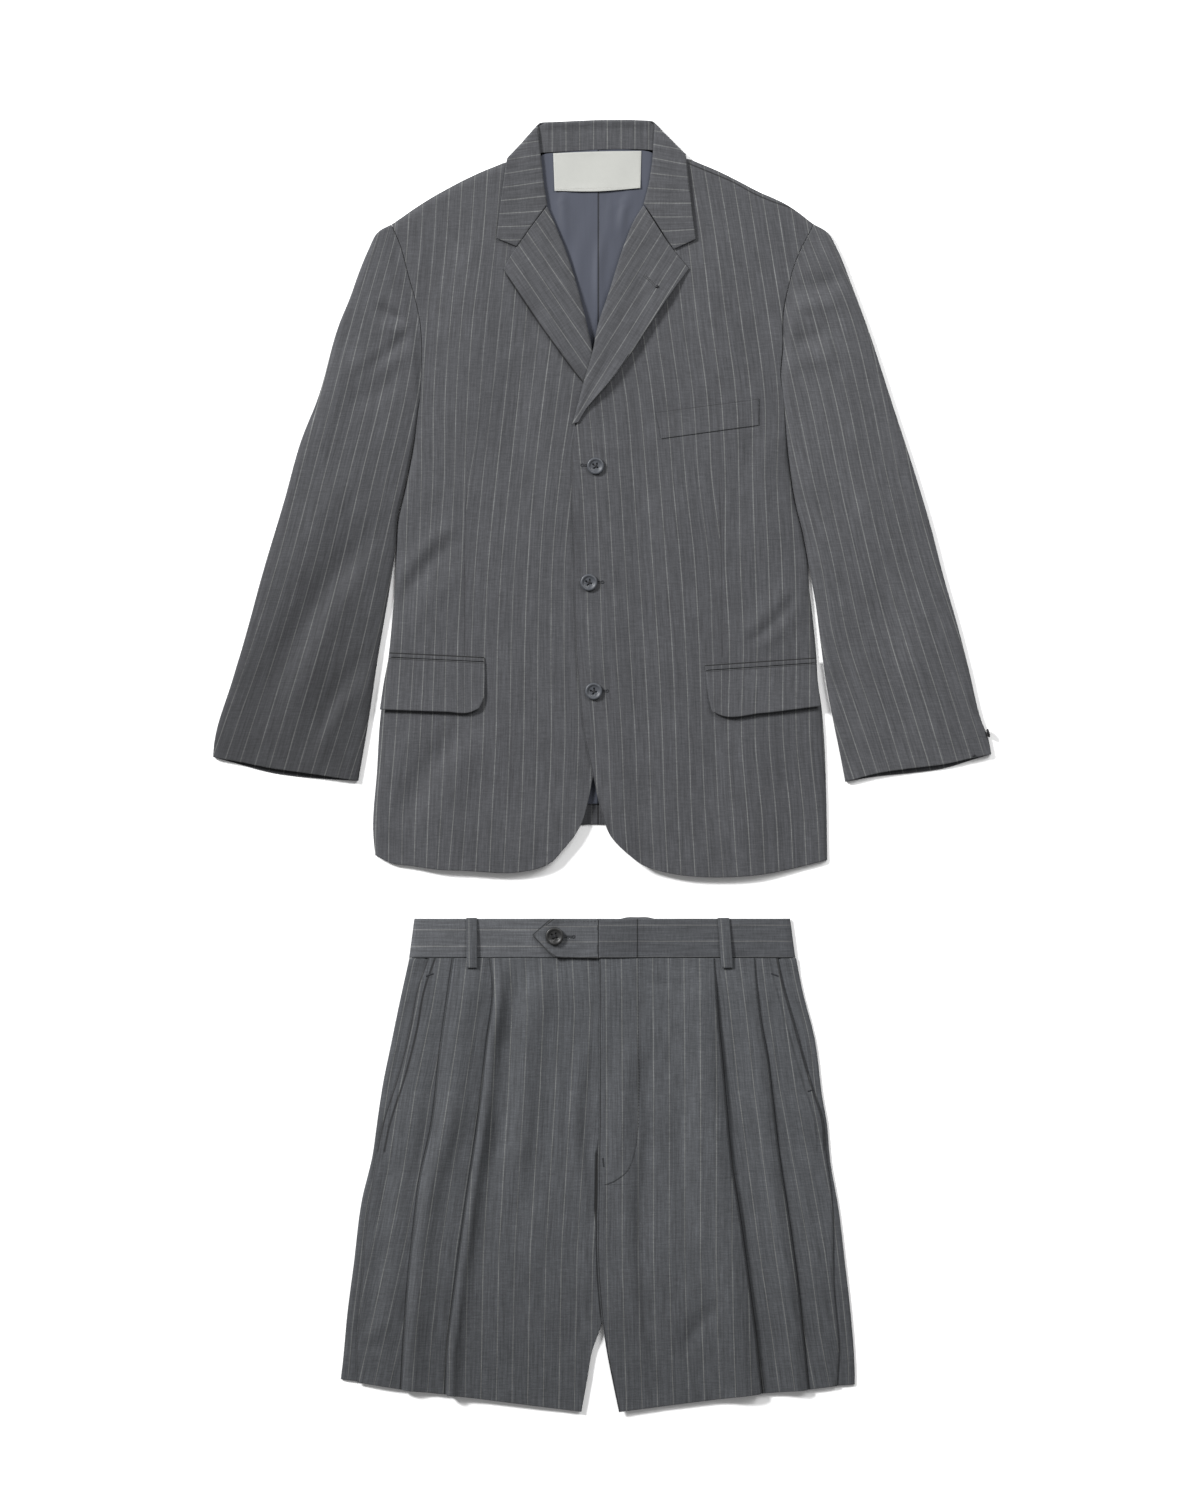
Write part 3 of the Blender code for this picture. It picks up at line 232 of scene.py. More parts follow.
# --- stripes ---

JACKET_PITCH = 14.0
SLEEVE_PITCH = 13.6
COLLAR_PITCH = 14.45
SHORTS_PITCH = 16.4
BAND_PITCH = 17.8
# Where certain stripes run: down, then their x. The numbers of the stripes come first.
# The fronts' sixth row, at 463, also tells which stripes run on each side of the dart.
STRIPES_FRONT_R = (-13, -11, -9, -7, -5, -3, 0), [
    (53, -172.5, -146.2, -120.0, -92.7, -65.4, -31.8, 20.7),
    (127, -176.2, -150.9, -125.2, -99.2, -73.7, -43.3, 6.0),
    (211, -183.8, -159.0, -135.7, -107.2, -80.1, -51.3, -6.6),
    (295, -188.8, -164.8, -141.3, -115.7, -88.3, -61.9, -18.1),
    (379, -189.6, -165.6, -144.6, -125.3, -97.1, -71.5, -31.3),
    (463, -192.2, -172.0, -147.2, -132.8, -105.3, -77.6, -39.3),
    (547, -196.4, -175.4, -151.5, -136.7, -109.6, -81.0, -40.1),
    (652, -203.1, -179.1, -151.8, -137.9, -111.6, -82.4, -39.1),
    (736, -209.5, -182.5, -156.3, -143.5, -116.0, -85.1, -42.1),
    (778, -210.1, -184.1, -160.1, -146.5, -117.8, -87.4, -43.1),
]
STRIPES_FRONT_L = (0, 2, 5, 8, 10, 12, 14), [
    (53, -44.4, -17.1, 24.9, 64.8, 93.2, 121.5, 149.9),
    (127, -36.0, -10.8, 33.3, 75.3, 104.4, 133.7, 161.4),
    (211, -25.5, -2.6, 41.1, 84.6, 113.9, 145.7, 174.5),
    (295, -15.0, 11.9, 52.9, 95.5, 124.8, 156.2, 184.6),
    (379, -7.4, 18.7, 60.3, 101.1, 129.0, 157.7, 183.1),
    (463, -2.9, 23.9, 66.8, 111.5, 129.0, 160.4, 188.0),
    (547, -0.3, 28.7, 72.8, 115.6, 133.2, 162.5, 189.6),
    (652, 6.4, 34.8, 77.3, 118.4, 132.0, 160.4, 189.8),
    (736, 10.1, 37.7, 79.7, 122.6, 137.3, 167.7, 197.7),
    (778, 13.4, 40.1, 81.8, 125.7, 140.4, 169.8, 199.7),
]
STRIPES_SLEEVE_R = (0, 2, 4, 6, 7), [
    (127, -236.4, -217.9, -200.2, -183.0, -174.6),
    (211, -261.6, -239.7, -214.8, -193.5, -183.0),
    (295, -283.1, -258.4, -232.8, -207.1, -194.8),
    (379, -304.7, -279.7, -253.1, -226.7, -213.5),
    (463, -326.0, -300.4, -272.5, -244.9, -232.0),
    (547, -351.9, -324.5, -293.9, -264.9, -250.6),
    (631, -381.2, -349.8, -318.7, -287.5, -272.8),
    (673, -395.6, -362.5, -330.7, -300.6, -285.9),
]
STRIPES_SLEEVE_L = (0, 2, 4, 6, 8), [
    (127, 162.5, 179.3, 198.2, 217.5, 238.1),
    (211, 177.2, 195.0, 222.4, 248.4, 274.8),
    (295, 189.8, 217.2, 244.2, 270.0, 294.6),
    (379, 207.4, 234.6, 261.5, 287.0, 311.4),
    (463, 228.3, 253.9, 280.2, 307.7, 333.7),
    (547, 243.1, 272.0, 302.2, 332.8, 361.3),
    (631, 270.3, 298.8, 328.2, 359.5, 388.1),
    (673, 284.3, 311.6, 341.0, 372.0, 401.9),
]
# One stripe in each strip of a leg's front, from the middle to the side
LEG_STRIPES_R = [
    [(45, -15.0), (98, -12.7), (182, -16.3), (266, -21.4), (350, -26.3), (507, -29.1)],
    [(45, -125.7), (98, -131.7), (182, -144.1), (266, -157.1), (350, -169.7), (434, -178.6), (507, -184.0)],
    [(45, -153.6), (98, -162.5), (182, -179.8), (266, -192.1), (350, -208.5), (434, -226.7), (507, -242.8)],
]
LEG_STRIPES_L = [
    [(45, 36.5), (182, 37.6), (350, 37.4), (434, 39.2), (507, 41.7)],
    [(45, 144.1), (98, 150.7), (182, 159.5), (266, 170.2), (350, 181.3), (434, 193.8), (507, 203.4)],
    [(45, 167.7), (98, 174.2), (182, 186.5), (266, 201.7), (350, 216.8), (434, 227.9), (507, 241.2)],
]
DART_R = [(-141, 350), (-144, 463), (-144, 547), (-145, 652), (-150, 736), (-153, 778)]
DART_L = [(122, 350), (125, 463), (126, 547), (125, 652), (130, 736), (133, 778)]
DART_TOP = 352.0
DART_END = 566.0
SHOULDER_SEAM_L = [(88, 46.5), (110, 55.5), (137, 67), (160, 79.5), (180, 88), (192, 92)]

# --- creases and soft folds: x, down of one end, x, down of the other, half width, height ---

FOLDS_R = [
    (-128, 70, -122, 340, 24, 1.3),
    (-84, 250, -80, 400, 19, -1.1),
    (-68, 186, -72, 258, 13, -0.9),
    (-190, 108, -191, 196, 5, 0.6),
    (-152, 440, -214, 512, 8, -1.2),
    (-158, 425, -214, 488, 8, 1.1),
    (-146, 470, -205, 545, 11, 0.9),
    (-150, 640, -212, 742, 12, -1.3),
    (-120, 640, -180, 760, 20, 1.6),
    (-196, 640, -222, 720, 14, 0.8),
    (-60, 420, -64, 560, 22, 0.7),
    (-176, 150, -184, 300, 13, -0.5),
    (-100, 560, -92, 740, 18, 0.8),
]
FOLDS_L = [
    (118, 75, 134, 300, 26, 1.3),
    (60, 300, 100, 318, 16, -0.5),
    (160, 330, 154, 372, 6, -0.8),
    (-60, 232, -44, 300, 14, -0.8),
    (40, 316, 62, 312, 12, -0.6),
    (206, 440, 208, 494, 7, -0.8),
    (198, 350, 200, 470, 11, -0.5),
    (176, 320, 180, 470, 14, 0.7),
    (144, 545, 196, 488, 9, 1.0),
    (160, 560, 212, 505, 7, 0.9),
    (152, 552, 204, 497, 5, -0.7),
    (60, 640, 72, 770, 20, 1.0),
    (150, 640, 168, 770, 20, 1.2),
    (112, 650, 120, 770, 14, -0.7),
    (196, 650, 206, 770, 14, -0.6),
    (72, 400, 78, 540, 24, 0.8),
]
# Ridges beside the left front's edge, where the other folds have faded out
FOLDS_MIDDLE = [
    (-22, 332, 22, 350, 6, 0.5),
    (-27, 395, -24, 475, 6, 0.8),
    (-6, 396, 12, 474, 12, 0.5),
    (8, 520, 4, 590, 14, 0.4),
]
FOLDS_SLEEVE_R = [
    (-236, 196, -206, 214, 6, -2.3),
    (-232, 214, -206, 224, 6, 1.3),
    (-248, 262, -203, 226, 7, -2.2),
    (-262, 258, -206, 242, 9, 1.3),
    (-262, 300, -204, 262, 10, -1.0),
    (-232, 420, -362, 632, 15, -2.3),
    (-250, 360, -340, 520, 20, 1.6),
    (-252, 470, -330, 660, 14, 1.5),
    (-248, 560, -300, 660, 10, -1.6),
    (-262, 600, -300, 680, 8, 1.2),
    (-256, 230, -300, 380, 17, 1.4),
]
FOLDS_SLEEVE_L = [
    (206, 176, 254, 168, 9, -1.6),
    (204, 196, 250, 192, 8, 1.5),
    (200, 232, 236, 226, 9, -1.4),
    (200, 254, 250, 246, 10, 1.4),
    (236, 250, 330, 520, 20, 1.5),
    (214, 330, 262, 560, 18, 1.2),
    (292, 470, 330, 660, 16, -1.4),
    (320, 520, 366, 660, 16, 1.4),
    (250, 560, 272, 670, 12, -0.9),
]
FOLDS_LEG_R = [
    (-78, 70, -76, 215, 8, 0.9),
    (-66, 300, -68, 400, 12, 1.0),
    (-40, 150, -38, 245, 8, 0.9),
    (-20, 130, -19, 310, 8, 1.4),
    (-8, 150, -8, 300, 5, -0.8),
    (-33, 140, -31, 260, 7, -0.7),
    (-14, 330, -12, 420, 8, 0.7),
    (-226, 340, -246, 440, 9, -1.1),
    (-214, 250, -236, 330, 8, -0.9),
    (-228, 420, -252, 468, 9, 1.2),
    (-236, 448, -250, 452, 7, -1.2),
    (-186, 240, -194, 300, 8, -0.8),
]
FOLDS_LEG_L = [
    (50, 140, 50, 225, 7, -1.2),
    (53, 205, 58, 480, 8, -1.5),
    (40, 205, 44, 470, 8, 1.0),
    (33, 110, 29, 340, 10, 1.5),
    (108, 140, 112, 390, 10, 1.0),
    (92, 150, 96, 380, 8, -0.5),
    (124, 402, 84, 462, 8, -1.3),
    (108, 372, 74, 440, 9, 0.8),
    (40, 66, 78, 70, 4, -0.6),
    (62, 58, 98, 60, 5, 0.5),
    (220, 330, 240, 440, 9, 0.9),
    (208, 340, 226, 470, 7, -0.8),
]
LINING_FOLDS = [
    (-40, 74, -35, 130, 5, 1.0),
    (-20, 110, -17, 220, 7, 0.6),
    (28, 78, 20, 124, 5, 1.0),
    (10, 82, 8, 128, 5, 0.5),
    (1, 122, -1, 200, 5, 0.9),
]
# What every height in these tables is multiplied by
FOLD_DEPTH = 1.7

# --- lines, patches and heights ---


def cubic(t, start, end, start_slope, end_slope):
    """The point at t, from 0 to 1, on a curve with these ends and slopes."""
    return ((2 * t**3 - 3 * t**2 + 1) * start + (t**3 - 2 * t**2 + t) * start_slope
            + (3 * t**2 - 2 * t**3) * end + (t**3 - t**2) * end_slope)


def smooth(knots, values, at):
    """A smooth line through values at the knots, straight past both ends."""
    knots = np.asarray(knots, float)
    values = np.asarray(values, float)
    at = np.asarray(at, float)
    slopes = np.gradient(values, knots, axis=0)
    k = np.clip(np.searchsorted(knots, at) - 1, 0, len(knots) - 2)
    gap = knots[k + 1] - knots[k]
    t = np.clip((at - knots[k]) / gap, 0, 1)
    past = at - np.clip(at, knots[0], knots[-1])
    if values.ndim > 1:
        gap, t, past = gap[..., None], t[..., None], past[..., None]
    inside = cubic(t, values[k], values[k + 1], gap * slopes[k], gap * slopes[k + 1])
    return inside + past * np.where(past < 0, slopes[0], slopes[-1])


def x_along(rows):
    """A function giving x at a distance down, along a line of (x, down)."""
    rows = np.array(rows, float)
    return lambda down: smooth(rows[:, 1], rows[:, 0], down)


def line(rows, corners=()):
    """A function giving points at shares 0..1 of the length of a smooth line through the rows."""
    rows = np.array(rows, float)
    last = len(rows) - 1
    steps = np.diff(rows, axis=0)
    lengths = np.linalg.norm(steps, axis=1)
    slopes = steps / lengths[:, None]
    points = [rows[:1]]
    for i in range(last):
        start = slopes[i]
        end = slopes[i]
        if not (i == 0 or i in corners):
            start = (slopes[i - 1] * lengths[i] + slopes[i] * lengths[i - 1]) / (lengths[i] + lengths[i - 1])
        if not (i + 1 == last or i + 1 in corners):
            end = (slopes[i] * lengths[i + 1] + slopes[i + 1] * lengths[i]) / (lengths[i] + lengths[i + 1])
        t = np.linspace(0, 1, 13)[1:, None]
        points.append(cubic(t, rows[i], rows[i + 1], start * lengths[i], end * lengths[i]))
    points = np.concatenate(points)
    along = np.concatenate([[0], np.cumsum(np.linalg.norm(np.diff(points, axis=0), axis=1))])
    along = along / along[-1]

    def at(share):
        share = np.asarray(share, float)
        return np.stack([np.interp(share, along, points[:, k]) for k in range(points.shape[1])], axis=-1)

    return at


def sampled(rows, count, corners=()):
    return line(rows, corners)(np.linspace(0, 1, count))


def patch(left, right, top, bottom):
    """A function giving the point at shares u across and v down of the field between four lines."""

    def at(u, v):
        uu = np.asarray(u, float)[..., None]
        vv = np.asarray(v, float)[..., None]
        across = (1 - uu) * left(v) + uu * right(v)
        down_top = top(u) - ((1 - uu) * top(0.0) + uu * top(1.0))
        down_bottom = bottom(u) - ((1 - uu) * bottom(0.0) + uu * bottom(1.0))
        return across + (1 - vv) * down_top + vv * down_bottom

    return at


def beside(rows, by):
    """The rows of a line moved sideways."""
    rows = np.array(rows, float)
    ahead = np.gradient(rows, axis=0)
    ahead /= np.linalg.norm(ahead, axis=1)[:, None]
    return [tuple(row) for row in rows + by * np.stack([ahead[:, 1], -ahead[:, 0]], axis=1)]


def ramp(value, low, high):
    """0 up to low, 1 from high on, and a smooth rise between."""
    t = np.clip((np.asarray(value, float) - low) / (high - low), 0, 1)
    return t * t * (3 - 2 * t)


def curl(distance):
    """How far a front turns down near its side and shoulder seams."""
    return CURL_DROP * np.clip(1 - np.asarray(distance, float) / CURL_WIDTH, 0, 1) ** 3


def folds(rows, x, down):
    """The height that the soft folds of a table add; each fades out towards both ends."""
    z = np.zeros(np.broadcast(x, down).shape)
    for x0, down0, x1, down1, wide, high in rows:
        ahead = np.array([x1 - x0, down1 - down0], float)
        long = np.hypot(*ahead)
        ahead /= long
        along = ((x - x0) * ahead[0] + (down - down0) * ahead[1]) / long
        bend = 0.05 * long * np.sin(math.pi * np.clip(along, 0, 1))
        off = (x - x0) * -ahead[1] + (down - down0) * ahead[0] - bend
        fade = ramp(along, -0.12, 0.3) * (1 - ramp(along, 0.65, 1.12))
        z = z + FOLD_DEPTH * high * np.exp(-((off / wide) ** 2)) * fade
    return z


def ripple(x, down, size=0.16):
    """Slight unevenness of cloth that has lain and been worn."""
    return size * (np.sin(x / 19.0 + 2.1 * np.sin(down / 67.0)) + 0.8 * np.sin(down / 31.0 + 1.7 * np.sin(x / 41.0))
                   + 0.6 * np.sin((x + down) / 13.0 + np.sin(x / 23.0)))


def body_height(x, down):
    """The height of the fronts' middle layer, without folds."""
    rise = CROWN * (1 - (x / HALF_WIDTH) ** 2) * ramp(down, 60, 200)
    swell = 1.3 * ramp(HALF_WIDTH - np.abs(x), 4, 60) * ramp(down, 150, 240) * (1 - ramp(down, 735, 790))
    return BODY_LEVEL + rise + swell


def over_lift(x, down):
    """How far the left front is raised where it lies over the right one, and over its lapel's end."""
    tail = ramp(down, 165, 232) * (1 - ramp(down, 292, 335)) * (1 - ramp(x, -5, 24))
    return OVERLAP_LIFT * (1 - ramp(x, 12, 45)) + TAIL_LIFT * tail


def clear(x, down):
    """1 where the fronts lie alone, 0 near their middle, where one lies over the other, and at the neck."""
    return ramp(np.abs(x), 34, 70) * ramp(down, 95, 165)


def front_height_r(x, down):
    hem = 3.2 * ramp(down, 690, 790) * ramp(x, -215, -150)
    return body_height(x, down) + hem + clear(x, down) * (folds(FOLDS_R, x, down) + ripple(x, down))


def front_height_l(x, down):
    hem = 3.2 * ramp(down, 700, 796) * (1 - ramp(x, 150, 215)) + 2.0 * ramp(down, 640, 720) * (1 - ramp(x, 20, 60))
    middle = folds(FOLDS_MIDDLE, x, down) * ramp(down, 322, 340)
    return (body_height(x, down) + over_lift(x, down) + hem + middle
            + clear(x, down) * (folds(FOLDS_L, x, down) + ripple(x + 300, down)))


def stripe_field(numbers, rows, pitch):
    """The stripe number at a point, from where certain stripes run."""
    rows = np.array(rows, float)

    def at(x, down):
        where = smooth(rows[:, 0], rows[:, 1:], down)
        s = numbers[0] + (x - where[..., 0]) / pitch
        for k in range(len(numbers) - 1):
            t = (x - where[..., k]) / (where[..., k + 1] - where[..., k])
            s = np.where(t > 0, numbers[k] + t * (numbers[k + 1] - numbers[k]), s)
        past = x - where[..., -1]
        return np.where(past > 0, numbers[-1] + past / pitch, s)

    return at


# --- sheets of cloth ---


# Distance and strength where a sheet has no seam near
NO_SEAM = (50.0, 0.0)
SEAM_FAR = 60.0
# Where the points of a rounded rim lie, in radians above and below its middle, and how far the rim is drawn in
RIM_ANGLES = (0.9, 0.0, -0.9)
RIM_INSET = 0.9
# The half circle in which a lapel or the collar turns over
HALF_TURN = np.linspace(-90, 90, 9) * math.pi / 180
# The points and the wall of each sheet made so far, by its name
FACES = {}


def unit(v):
    return v / np.maximum(np.linalg.norm(v, axis=-1), 1e-9)[..., None]


def placed(name, data):
    """A new object in the scene."""
    obj = bpy.data.objects.new(name, data)
    bpy.context.scene.collection.objects.link(obj)
    return obj


def face_of(name):
    """A function giving the height of a piece's upper face at a point, from the nearest points of its grid."""
    points, wall = FACES[name]

    def at(x, down):
        x, down = np.broadcast_arrays(np.asarray(x, float), np.asarray(down, float))
        out = np.empty(x.size)
        for k, (px, pd) in enumerate(zip(x.ravel(), down.ravel())):
            gap = (points[:, 0] - px) ** 2 + (points[:, 1] - pd) ** 2
            near = np.argpartition(gap, 8)[:8]
            level = points[near, 2]
            share = (level > level.max() - 1.2) / (gap[near] + 0.01) ** 1.5
            out[k] = np.sum(points[near, 2] * share) / share.sum() + wall / 2
        return out.reshape(x.shape)

    return at


def shell(name, points, wall, coords, top, material, ring=False, seams=None):
    """A closed sheet with rounded rims, its middle through a grid of (x, down, height).

    coords gives the cloth's own coordinates in stripes: an array over the grid, or a function of the point and of the
    middle of its face, so that stripes can break at a dart. seams is the distance to a seam's line and its strength;
    some of these lines are painted shadow lines beside overlapping edges and folds.
    """
    p = np.array(points, float)
    FACES[name] = p.reshape(-1, 3).copy(), wall
    p[..., 1] = top - p[..., 1]
    rows, columns = p.shape[:2]
    across = np.roll(p, -1, 1) - np.roll(p, 1, 1) if ring else np.gradient(p, axis=1)
    normal = unit(np.cross(across, np.gradient(p, axis=0)))
    outside = p - p.mean(axis=1, keepdims=True) if ring else np.array([0, 0, 1.0])
    sign = 1 if np.sum(normal * outside) > 0 else -1
    normal = normal * sign
    half = wall / 2
    out = np.zeros_like(p)
    out[0] += unit(p[0] - p[1])
    out[-1] += unit(p[-1] - p[-2])
    if not ring:
        out[:, 0] += unit(p[:, 0] - p[:, 1])
        out[:, -1] += unit(p[:, -1] - p[:, -2])
    out = unit(out)
    p = p - out * half * RIM_INSET

    flat = np.arange(rows * columns).reshape(rows, columns)
    if ring:
        following = np.roll(flat, -1, 1)
        quads = np.stack([flat[:-1], following[:-1], following[1:], flat[1:]], -1).reshape(-1, 4)
        loops = [flat[0], flat[-1][::-1]]
    else:
        quads = np.stack([flat[:-1, :-1], flat[:-1, 1:], flat[1:, 1:], flat[1:, :-1]], -1).reshape(-1, 4)
        loops = [np.concatenate([flat[0, :-1], flat[:-1, -1], flat[-1, :0:-1], flat[:0:-1, 0]])]
    p, normal, out = p.reshape(-1, 3), normal.reshape(-1, 3), out.reshape(-1, 3)
    count = len(p)
    verts = [p + normal * half, p - normal * half]
    source = [np.arange(count), np.arange(count)]
    faces = [quads, quads[:, ::-1] + count]
    made = 2 * count
    for loop in loops:
        rings = [loop]
        for angle in RIM_ANGLES:
            verts.append(p[loop] + half * (normal[loop] * math.sin(angle) + out[loop] * math.cos(angle)))
            source.append(loop)
            rings.append(made + np.arange(len(loop)))
            made += len(loop)
        rings.append(loop + count)
        for a, b in zip(rings, rings[1:]):
            faces.append(np.stack([np.roll(a, -1), a, b, np.roll(b, -1)], -1))
    verts = np.concatenate(verts) * MM
    source = np.concatenate(source)
    faces = np.concatenate(faces)
    if sign < 0:
        faces = faces[:, ::-1]
    mesh = bpy.data.meshes.new(name)
    mesh.from_pydata(verts.tolist(), [], faces.tolist())
    mesh.shade_smooth()
    corner = faces.ravel()
    if callable(coords):
        x, down = verts[:, 0] / MM, top - verts[:, 1] / MM
        middle = np.repeat(np.stack([x[faces].mean(1), down[faces].mean(1)], 1), 4, axis=0)
        uv = coords(x[corner], down[corner], middle[:, 0], middle[:, 1])
    else:
        uv = np.asarray(coords, float).reshape(-1, 2)[source][corner]
    mesh.uv_layers.new(name="cloth").data.foreach_set("uv", uv.astype(np.float32).ravel())
    if seams is None:
        seam = np.tile(NO_SEAM, (len(corner), 1))
    else:
        seam = np.asarray(seams, float).reshape(-1, 2)[source][corner]
    mesh.uv_layers.new(name="seam").data.foreach_set("uv", seam.astype(np.float32).ravel())
    mesh.materials.append(material)
    return placed(name, mesh)


def solid_mesh(name, verts, faces, material):
    """A plain mesh from points in millimetres of the whole set's own frame."""
    mesh = bpy.data.meshes.new(name)
    mesh.from_pydata((np.asarray(verts, float) * MM).tolist(), [], [list(f) for f in faces])
    mesh.shade_smooth()
    mesh.materials.append(material)
    return placed(name, mesh)


# --- materials ---


class Tree:
    """A material's nodes, added one by one."""

    def __init__(self, name):
        self.material = bpy.data.materials.new(name)
        self.material.use_nodes = True
        self.nodes = self.material.node_tree.nodes
        self.links = self.material.node_tree.links
        self.shader = self.nodes["Principled BSDF"]

    def add(self, kind, *values, out=0, **settings):
        node = self.nodes.new("ShaderNode" + kind)
        for key, value in settings.items():
            setattr(node, key, value)
        for socket, value in zip(node.inputs, values):
            self.put(socket, value)
        return node.outputs[out]

    def put(self, socket, value):
        if value is None:
            return
        if isinstance(value, bpy.types.NodeSocket):
            self.links.new(value, socket)
        else:
            socket.default_value = value

    def math(self, operation, *values):
        return self.add("Math", *values, operation=operation)

    def step(self, value, low, high):
        node = self.nodes.new("ShaderNodeMapRange")
        node.interpolation_type = "SMOOTHSTEP"
        node.clamp = True
        for socket, given in zip(node.inputs, (value, low, high, 0.0, 1.0)):
            self.put(socket, given)
        return node.outputs[0]

    def noise(self, x, y, z=0.0, detail=2.0, roughness=0.5):
        """Noise from 0 to 1 over coordinates that are already in its own size."""
        vector = self.add("CombineXYZ", x, y, z)
        node = self.nodes.new("ShaderNodeTexNoise")
        self.put(node.inputs["Vector"], vector)
        self.put(node.inputs["Scale"], 1.0)
        self.put(node.inputs["Detail"], detail)
        self.put(node.inputs["Roughness"], roughness)
        return node.outputs[0]

    def over(self, x, y, wide, long, seed, detail=2.0):
        """Noise over the cloth, its spots wide across the cloth and long along it, in millimetres."""
        return self.noise(self.math("DIVIDE", x, wide), self.math("DIVIDE", y, long), seed, detail)

    def shaded(self, shade, value, size):
        """A shade made lighter and darker by a value from 0 to 1, by size in all."""
        return self.math("MULTIPLY", shade, self.math("MULTIPLY_ADD", value, size, 1.0 - size / 2))

    def dark_line(self, low, high):
        """1 in the middle of a line of the seam layer and 0 beside it, times its strength. Most of these lines are
        seams; those beside overlapping edges and folds are painted shadow lines.
        """
        away, strength = self.uv("seam")
        dark_line = self.math("SUBTRACT", 1.0, self.step(self.math("ABSOLUTE", away), low, high))
        return self.math("MULTIPLY", dark_line, strength)

    def mix(self, factor, a, b):
        node = self.nodes.new("ShaderNodeMix")
        node.data_type = "RGBA"
        for key, value in ((0, factor), (6, a), (7, b)):
            self.put(node.inputs[key], value)
        return node.outputs[2]

    def scaled(self, colour, by):
        vector = self.add("VectorMath", colour, operation="SCALE")
        self.put(vector.node.inputs["Scale"], by)
        return vector

    def split(self, vector):
        node = self.nodes.new("ShaderNodeSeparateXYZ")
        self.links.new(vector, node.inputs[0])
        return list(node.outputs)

    def uv(self, name):
        return self.split(self.add("UVMap", uv_map=name))[:2]

    def cloth(self, pitch):
        """The cloth's own coordinates in millimetres."""
        u, v = self.uv("cloth")
        return self.math("MULTIPLY", u, pitch), self.math("MULTIPLY", v, pitch)

    def finish(self, colour, roughness, relief, strength, distance, **settings):
        """Joins all to the shader and gives the material. The settings are the shader's own inputs."""
        self.put(self.shader.inputs["Base Color"], colour)
        self.put(self.shader.inputs["Roughness"], roughness)
        for name, value in settings.items():
            self.shader.inputs[name.replace("_", " ")].default_value = value
        bump = self.nodes.new("ShaderNodeBump")
        bump.inputs["Strength"].default_value = strength
        bump.inputs["Distance"].default_value = distance
        self.put(bump.inputs["Height"], relief)
        self.put(self.shader.inputs["Normal"], bump.outputs[0])
        return self.material


# Columns: width and length of the spots in mm, seed, share by which they lighten and darken the cloth, detail
YARNS = [
    (2.4, 90.0, 17.0, 0.75, 2.0),
    (9.0, 1.25, 31.0, 0.65, 2.0),
    (26.0, 2.1, 39.0, 0.35, 2.0),
    (34.0, 34.0, 47.0, 0.25, 3.0),
    (1.5, 1.5, 59.0, 0.6, 3.0),
]
TWILL_RIB = 0.62
TWILL_THREAD = 0.5
LABEL_RIB = 0.55


